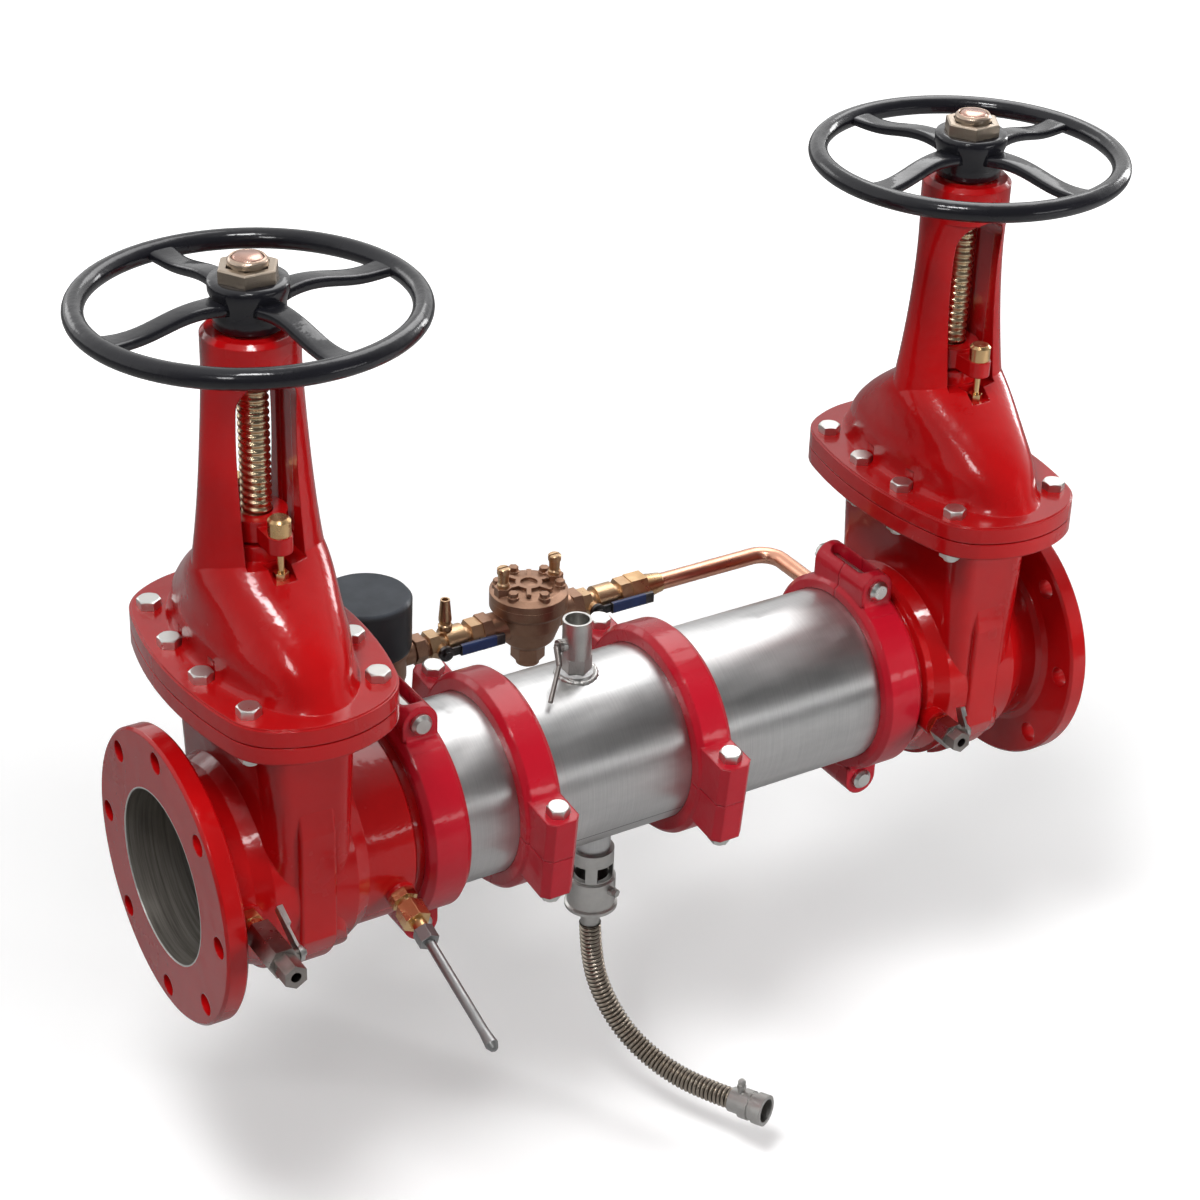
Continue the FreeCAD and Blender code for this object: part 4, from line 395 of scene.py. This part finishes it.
hose_steel = metal("hose_steel", (0.44, 0.385, 0.32), (0.26, 0.22, 0.175), 0.3)
# Near-black painted shade for the hose valleys, which are the same steel as the ribs
hose_valley_shade = metal("hose_valley_shade", (0.06, 0.052, 0.044), (0.03, 0.026, 0.022), 0.5)
iron = metal("gate_iron", (0.24, 0.24, 0.25), (0.12, 0.12, 0.13), 0.5)
rubber = enamel("rubber", (0.02, 0.02, 0.02), (0.03, 0.03, 0.03), 0.6, 0.0)
register = register_look("register_black")
pipe = brushed_pipe("stainless")
seamed_pipe = brushed_pipe("stainless_seamed", True)
thread_brass = stem_metal("stem_brass")

# Which solids wear which material
LOOKS = {
    red_inlet: ("inlet_valve_body",),
    red_outlet: ("outlet_valve_body",),
    red_bonnet: ("inlet_bonnet", "outlet_bonnet", "gland_followers"),
    crimson: ("inlet_coupling_front", "inlet_coupling_rear", "outlet_coupling_front",
              "outlet_coupling_rear", "first_clamp_upper", "first_clamp_lower",
              "second_clamp_upper", "second_clamp_lower"),
    wheel_black: ("inlet_handwheel", "outlet_handwheel"),
    bronze_nut: ("inlet_wheel_nut", "outlet_wheel_nut", "inlet_yoke_nut", "outlet_yoke_nut",
                 "valve_seat_rings"),
    bronze: ("bypass_device_body", "bypass_device_cover", "meter_body"),
    gold_bronze: ("upstream_ball_valve", "downstream_ball_valve", "bypass_test_cocks",
                  "bypass_inlet_line"),
    brass: ("gland_studs", "drain_fitting"),
    iron: ("inlet_wedge", "outlet_wedge"),
    rubber: ("bonnet_seals", "coupling_gaskets"),
    zinc: ("bonnet_fasteners", "coupling_fasteners", "check_pins", "check_springs"),
    pipe: ("first_check_housing", "second_check_housing"),
    seamed_pipe: ("relief_housing",),
    cast_steel: ("check_seats", "first_clapper", "second_clapper", "air_gap_body", "drain_funnel",
                 "hose_end", "top_cock_body", "inlet_cock_lever", "outlet_cock_lever"),
    dark_steel: ("top_cock_lever",),
    dull_tube: ("drain_tube",),
    register: ("meter_register",),
    tube_and_copper("copper_line"): ("bypass_tube",),
}
for side, end_y in NIPPLE_END_Y.items():
    LOOKS[cock_metal(side + "_cock_metal", end_y)] = (side + "_cock_body",)
for side, grip in GRIP_X.items():
    LOOKS[blue_lever("lever_blue_" + side, *grip)] = (side + "_valve_lever",)

for shader, names in LOOKS.items():
    for name in names:
        for slot in NODES[name].material_slots:
            slot.material = shader.material


# Pieces

def mesh_object(name, rings, closed_ends, shader, smooth=True):
    """Skin over rings of points, with a fan at each end if closed_ends is set."""
    bm = bmesh.new()
    rows = [[bm.verts.new(p) for p in ring] for ring in rings]
    count = len(rows[0])
    for low, high in zip(rows, rows[1:]):
        for i in range(count):
            j = (i + 1) % count
            bm.faces.new((low[i], low[j], high[j], high[i]))
    if closed_ends:
        for row in (rows[0], rows[-1]):
            centre = Vector((0, 0, 0))
            for vert in row:
                centre += vert.co / count
            hub = bm.verts.new(centre)
            for i in range(count):
                bm.faces.new((row[i], row[(i + 1) % count], hub))
    bmesh.ops.recalc_face_normals(bm, faces=bm.faces)
    mesh = bpy.data.meshes.new(name)
    bm.to_mesh(mesh)
    bm.free()
    for face in mesh.polygons:
        face.use_smooth = smooth
    obj = bpy.data.objects.new(name, mesh)
    bpy.context.scene.collection.objects.link(obj)
    mesh.materials.append(shader.material)
    return obj


def thread_radius(z, turn):
    """Trapezoid thread, left-handed so that a turn to the left lifts the stem."""
    phase = (z / THREAD_LEAD + turn) % 1.0
    rise = min(abs(phase - 0.5) * 4.0 - 0.5, 1.0)
    fade = min(max((z - THREAD_BOTTOM) / THREAD_RUN_IN, 0.0), 1.0)
    return STEM_R - SKIN - THREAD_DEPTH * max(rise, 0.0) * fade


def stem_ring(x, z, radius_at):
    """Points round the stem at one height, with the radius that radius_at gives."""
    ring = []
    for i in range(STEM_SIDES):
        a = 2.0 * math.pi * i / STEM_SIDES
        r = radius_at(i / STEM_SIDES)
        ring.append((x + r * math.cos(a), r * math.sin(a), z))
    return ring


def threaded_stem(name, x):
    """Stem that is slimmest at its foot in the wedge and threaded up to its top."""
    rings = [stem_ring(x, STEM_BOTTOM, lambda turn: STEM_FOOT_R)]
    z = THREAD_BOTTOM
    while z < THREAD_TOP:
        rings.append(stem_ring(x, z, lambda turn: thread_radius(z, turn)))
        z += THREAD_LEAD / THREAD_STEPS
    for end_z, end_r in STEM_END:
        rings.append(stem_ring(x, end_z, lambda turn: end_r))
    return mesh_object(name, rings, True, thread_brass)


for side, x in STEM_X.items():
    stem = threaded_stem(side + "_stem_thread", x)
    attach(stem, side + "_gate")
    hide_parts(side + "_stem")


def turned(name, x, profile, shader, around=64, sides=0):
    """Closed ring swept about the stem: (radius, height) points; sides makes it a polygon."""
    rings = []
    for i in range(around):
        a = 2.0 * math.pi * i / around
        reach = 1.0
        if sides:
            off = (a % (2.0 * math.pi / sides)) - math.pi / sides
            reach = 1.0 / math.cos(off)
        rings.append([(x + r * reach * math.cos(a), r * reach * math.sin(a), z) for r, z in profile])
    rings.append(rings[0])
    return mesh_object(name, rings, False, shader, smooth=not sides)


def wheel_spoke(name, x, angle):
    """Flat-topped arm in an S that sinks from the hub to the rim and is slimmest half way."""
    rings = []
    steps = 20
    around = 24
    for i in range(steps + 1):
        t = i / steps
        r = SPOKE_ROOT_R + (SPOKE_END_R - SPOKE_ROOT_R) * t
        z = WHEEL_Z + SPOKE_SINK * (1.0 - t) + SPOKE_WAVE * math.sin(2.0 * math.pi * t)
        half_w = SPOKE_HALF_W + SPOKE_FLARE * (2.0 * t - 1.0) ** 4
        half_t = SPOKE_HALF_T - SPOKE_THINNING * t
        ring = []
        for k in range(around):
            b = 2.0 * math.pi * k / around
            c, d = math.cos(b), math.sin(b)
            across = half_w * math.copysign(abs(c) ** SPOKE_SQUARENESS, c)
            up = half_t * math.copysign(abs(d) ** SPOKE_SQUARENESS, d)
            ring.append((x + r * math.cos(angle) - across * math.sin(angle),
                         r * math.sin(angle) + across * math.cos(angle), z + up))
        rings.append(ring)
    return mesh_object(name, rings, True, wheel_black)


# Half sections of the hub, the hex nut and the end of the yoke nut: radius and height
HUB_PROFILE = ((YOKE_NUT_R + 0.0002, HUB_BOTTOM), (0.0362, HUB_BOTTOM), (0.0380, 0.6420),
               (0.0380, 0.6540), (0.0384, 0.6640), (0.0396, 0.6720),
               (0.0418, 0.6780), (0.0424, 0.6870), (0.0410, HUB_TOP),
               (YOKE_NUT_R + 0.0002, HUB_TOP))
NUT_PROFILE = ((YOKE_NUT_R + 0.0001, HUB_TOP), (0.5 * NUT_FLATS, HUB_TOP),
               (0.5 * NUT_FLATS, NUT_TOP - 0.0015), (0.5 * NUT_FLATS - 0.0018, NUT_TOP),
               (YOKE_NUT_R + 0.0001, NUT_TOP))
THREAD_END = ((STEM_R + 0.0002, 0.7000), (YOKE_NUT_R - 0.0001, 0.7000), (YOKE_NUT_R - 0.0001, 0.7060),
              (YOKE_NUT_R - 0.0022, 0.7068), (YOKE_NUT_R - 0.0022, 0.7078),
              (YOKE_NUT_R - 0.0001, 0.7084), (YOKE_NUT_R - 0.0001, 0.7104),
              (YOKE_NUT_R - 0.0014, 0.7112), (YOKE_NUT_R - 0.0025, 0.7132),
              (STEM_R + 0.0002, 0.7132))

RIM_SIDES = 28
RIM_PROFILE = [(WHEEL_R + RIM_R * math.cos(2.0 * math.pi * k / RIM_SIDES),
                WHEEL_Z + RIM_R * math.sin(2.0 * math.pi * k / RIM_SIDES))
               for k in range(RIM_SIDES)]

for side, x in STEM_X.items():
    rim = turned(side + "_wheel_rim", x, RIM_PROFILE, wheel_black, 144)
    hub = turned(side + "_wheel_hub", x, HUB_PROFILE, wheel_black)
    nut = turned(side + "_wheel_hex", x, NUT_PROFILE, bronze_nut, 96, 6)
    end = turned(side + "_yoke_nut_end", x, THREAD_END, rosy_bronze)
    wheel = [rim, hub, nut, end]
    for i in range(SPOKES):
        angle = SPOKE_TURN[side] + 2.0 * math.pi * i / SPOKES
        wheel.append(wheel_spoke("%s_wheel_spoke_%d" % (side, i + 1), x, angle))
    for piece in wheel:
        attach(piece, side + "_wheel")
    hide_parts(side + "_handwheel")
    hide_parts(side + "_wheel_nut")


def weld_bead(name, x, side, radius, size):
    """Rippled bead where a round branch stands on the pipe."""
    around = 96
    section = 10
    rings = []
    for i in range(around):
        a = 2.0 * math.pi * i / around
        y = radius * math.sin(a)
        centre = Vector((x + radius * math.cos(a), y, side * math.sqrt(PIPE_R ** 2 - y ** 2)))
        out = Vector((math.cos(a), math.sin(a), 0))
        up = Vector((0, 0, side))
        r = size * (1.0 + 0.16 * math.sin(24.0 * a) + 0.07 * math.sin(7.0 * a + 1.0))
        rings.append([centre + out * (r * math.cos(2.0 * math.pi * k / section))
                      + up * (r * math.sin(2.0 * math.pi * k / section)) for k in range(section)])
    rings.append(rings[0])
    bead = mesh_object(name, rings, False, cast_steel)
    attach(bead, "line")


weld_bead("top_cock_weld", TOP_COCK_X, 1, 0.0235, 0.0032)
weld_bead("relief_stub_weld", RELIEF_X, -1, 0.0232, 0.0030)


def hose_point(along, z):
    """A point of the route, which lies in one upright plane through the funnel."""
    return Vector((RELIEF_X + along * math.sin(HOSE_HEADING), -along * math.cos(HOSE_HEADING), z))


def route_line(name, points):
    """Points along a smooth NURBS line through the route."""
    curve = bpy.data.curves.new(name, "CURVE")
    curve.dimensions = "3D"
    curve.resolution_u = 24
    spline = curve.splines.new("NURBS")
    spline.points.add(len(points) - 1)
    for point, place in zip(spline.points, points):
        point.co = (place[0], place[1], place[2], 1.0)
    spline.order_u = 3
    spline.use_endpoint_u = True
    obj = bpy.data.objects.new(name, curve)
    bpy.context.scene.collection.objects.link(obj)
    line = bpy.data.meshes.new_from_object(obj)
    places = [vert.co.copy() for vert in line.vertices]
    bpy.data.objects.remove(obj)
    bpy.data.meshes.remove(line)
    return places


def spaced(line, step):
    """The line walked in equal steps, as (place, direction) pairs, and its length."""
    walk = []
    travelled = 0.0
    due = 0.0
    for a, b in zip(line, line[1:]):
        length = (b - a).length
        direction = (b - a).normalized()
        while due <= travelled + length:
            walk.append((a + direction * (due - travelled), direction))
            due += step
        travelled += length
    walk.append((line[-1], (line[-1] - line[-2]).normalized()))
    return walk, travelled


def ribbed_hose():
    """Steel hose whose ribs and valleys follow each other along the route; the valleys carry painted
    shade.
    """
    line = route_line("hose_route", [hose_point(a, z) for a, z in HOSE_ROUTE])
    walk, length = spaced(line, HOSE_PITCH / HOSE_STEPS)
    side = Vector((math.cos(HOSE_HEADING), math.sin(HOSE_HEADING), 0))
    around = 40
    rings = []
    for i, (place, direction) in enumerate(walk):
        wave = 0.5 + 0.5 * math.cos(2.0 * math.pi * i / HOSE_STEPS)
        r = HOSE_R - SKIN - HOSE_RIB * (1.0 - wave ** 0.7)
        up = side.cross(direction).normalized()
        rings.append([place + side * (r * math.cos(2.0 * math.pi * k / around))
                      + up * (r * math.sin(2.0 * math.pi * k / around)) for k in range(around)])
    hose = mesh_object("ribbed_hose", rings, True, hose_steel)
    # The valley faces take the near-black painted shade material
    hose.data.materials.append(hose_valley_shade.material)
    for face in hose.data.polygons:
        if face.index // around % HOSE_STEPS in HOSE_SHADED_VALLEY_STEPS:
            face.material_index = 1
    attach(hose, "line")
    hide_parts("drain_hose")


ribbed_hose()


# Floor, light and camera

def plain_stage(name):
    """Pale floor: brighter to the camera than in what it reflects, and white further out."""
    material = bpy.data.materials.new(name)
    material.use_nodes = True
    nodes = material.node_tree.nodes
    links = material.node_tree.links
    nodes.clear()

    def join(kind, sockets, **settings):
        node = nodes.new(kind)
        for key, value in settings.items():
            setattr(node, key, value)
        for index, value in sockets.items():
            if isinstance(value, bpy.types.NodeSocket):
                links.new(value, node.inputs[index])
            else:
                node.inputs[index].default_value = value
        return node.outputs[0]

    out = nodes.new("ShaderNodeOutputMaterial")
    camera_ray = nodes.new("ShaderNodeLightPath").outputs["Is Camera Ray"]
    tone = join("ShaderNodeMapRange", {0: camera_ray, 3: FLOOR_BOUNCED, 4: FLOOR_SEEN})
    place = nodes.new("ShaderNodeTexCoord").outputs["Object"]
    away = nodes.new("ShaderNodeVectorMath")
    away.operation = "LENGTH"
    links.new(place, away.inputs[0])
    glow = join("ShaderNodeMapRange", {0: away.outputs["Value"], 1: GLOW_DISTANCES[0],
                                       2: GLOW_DISTANCES[1], 3: GLOW_NEAR, 4: GLOW_FAR})
    strength = join("ShaderNodeMath", {0: camera_ray, 1: glow}, operation="MULTIPLY")
    diffuse = join("ShaderNodeBsdfDiffuse", {0: tone})
    shine = join("ShaderNodeEmission", {1: strength})
    links.new(join("ShaderNodeAddShader", {0: diffuse, 1: shine}), out.inputs["Surface"])
    return material


def floor():
    bm = bmesh.new()
    bmesh.ops.create_grid(bm, x_segments=8, y_segments=8, size=FLOOR_HALF)
    mesh = bpy.data.meshes.new("floor")
    bm.to_mesh(mesh)
    bm.free()
    mesh.materials.append(plain_stage("floor_white"))
    obj = bpy.data.objects.new("floor", mesh)
    obj.location = FLOOR_PLACE
    bpy.context.scene.collection.objects.link(obj)


floor()


def world():
    """White to the camera; metal sees white behind and above and a dim room in front."""
    scene_world = bpy.data.worlds.new("studio")
    bpy.context.scene.world = scene_world
    scene_world.use_nodes = True
    nodes = scene_world.node_tree.nodes
    links = scene_world.node_tree.links
    nodes.clear()

    def span(value, numbers):
        node = nodes.new("ShaderNodeMapRange")
        for socket, number in zip(list(node.inputs)[1:5], numbers):
            if isinstance(number, float):
                socket.default_value = number
            else:
                links.new(number, socket)
        links.new(value, node.inputs[0])
        return node.outputs[0]

    def larger(a, b):
        node = nodes.new("ShaderNodeMath")
        node.operation = "MAXIMUM"
        links.new(a, node.inputs[0])
        links.new(b, node.inputs[1])
        return node.outputs[0]

    rays = nodes.new("ShaderNodeLightPath").outputs
    coords = nodes.new("ShaderNodeTexCoord")
    axes = nodes.new("ShaderNodeSeparateXYZ")
    links.new(coords.outputs["Generated"], axes.inputs[0])
    room = span(axes.outputs[1], (*ROOM_EDGES, ROOM_FRONT, ROOM_BACK))
    ambient = span(axes.outputs[2], (0.0, 1.0, AMBIENT_LOW, AMBIENT_HIGH))
    seen_by_metal = larger(rays["Is Glossy Ray"], rays["Is Transmission Ray"])
    lit = span(seen_by_metal, (0.0, 1.0, ambient, room))
    level = span(rays["Is Camera Ray"], (0.0, 1.0, lit, 1.0))
    back = nodes.new("ShaderNodeBackground")
    back.inputs["Color"].default_value = (1.0, 1.0, 1.0, 1.0)
    links.new(level, back.inputs["Strength"])
    out = nodes.new("ShaderNodeOutputWorld")
    links.new(back.outputs[0], out.inputs["Surface"])


world()


def softbox(name, place, size, power, in_metal=True, in_paint=True):
    """Soft lamp aimed at the object; it can be left out of reflections or of plain light."""
    data = bpy.data.lights.new(name, "AREA")
    data.shape = "RECTANGLE"
    data.size = size[0]
    data.size_y = size[1]
    data.energy = power
    obj = bpy.data.objects.new(name, data)
    obj.location = place
    obj.rotation_euler = (Vector(STUDIO_CENTRE) - Vector(place)).to_track_quat("-Z", "Y").to_euler()
    obj.visible_glossy = in_metal
    obj.visible_diffuse = in_paint
    bpy.context.scene.collection.objects.link(obj)


softbox("key", (-0.9, -1.0, 3.3), (1.2, 0.9), 96.0, False)
softbox("key_glint", (-0.35, -1.15, 3.4), (0.6, 0.5), 36.0, True, False)
softbox("top_glint", (2.2, 1.35, 3.0), (1.8, 2.6), 50.0, True, False)
softbox("right", (3.1, -2.3, 1.1), (1.2, 1.4), 92.0, False)
softbox("side", (3.7, 0.7, 1.0), (0.5, 1.5), 22.0, True, False)
softbox("strip", (2.2, -3.2, 0.55), (1.5, 0.3), 7.0)
softbox("left", (-1.6, -2.0, 2.3), (0.5, 0.5), 14.0)
softbox("rear", (-0.6, 3.2, 1.6), (1.6, 0.8), 9.0)

scene = bpy.context.scene
scene.view_settings.view_transform = "Standard"

camera_data = bpy.data.cameras.new("camera")
camera_data.sensor_width = SENSOR
camera_data.lens = LENS
camera = bpy.data.objects.new("camera", camera_data)
forward = Vector((math.sin(CAMERA_AZIMUTH) * math.cos(CAMERA_ELEVATION),
                  math.cos(CAMERA_AZIMUTH) * math.cos(CAMERA_ELEVATION),
                  -math.sin(CAMERA_ELEVATION)))
turn = forward.to_track_quat("-Z", "Y").to_matrix() @ Matrix.Rotation(CAMERA_ROLL, 3, "Z")
camera.matrix_world = Matrix.Translation(CAMERA_PLACE) @ turn.to_4x4()
scene.collection.objects.link(camera)
scene.camera = camera
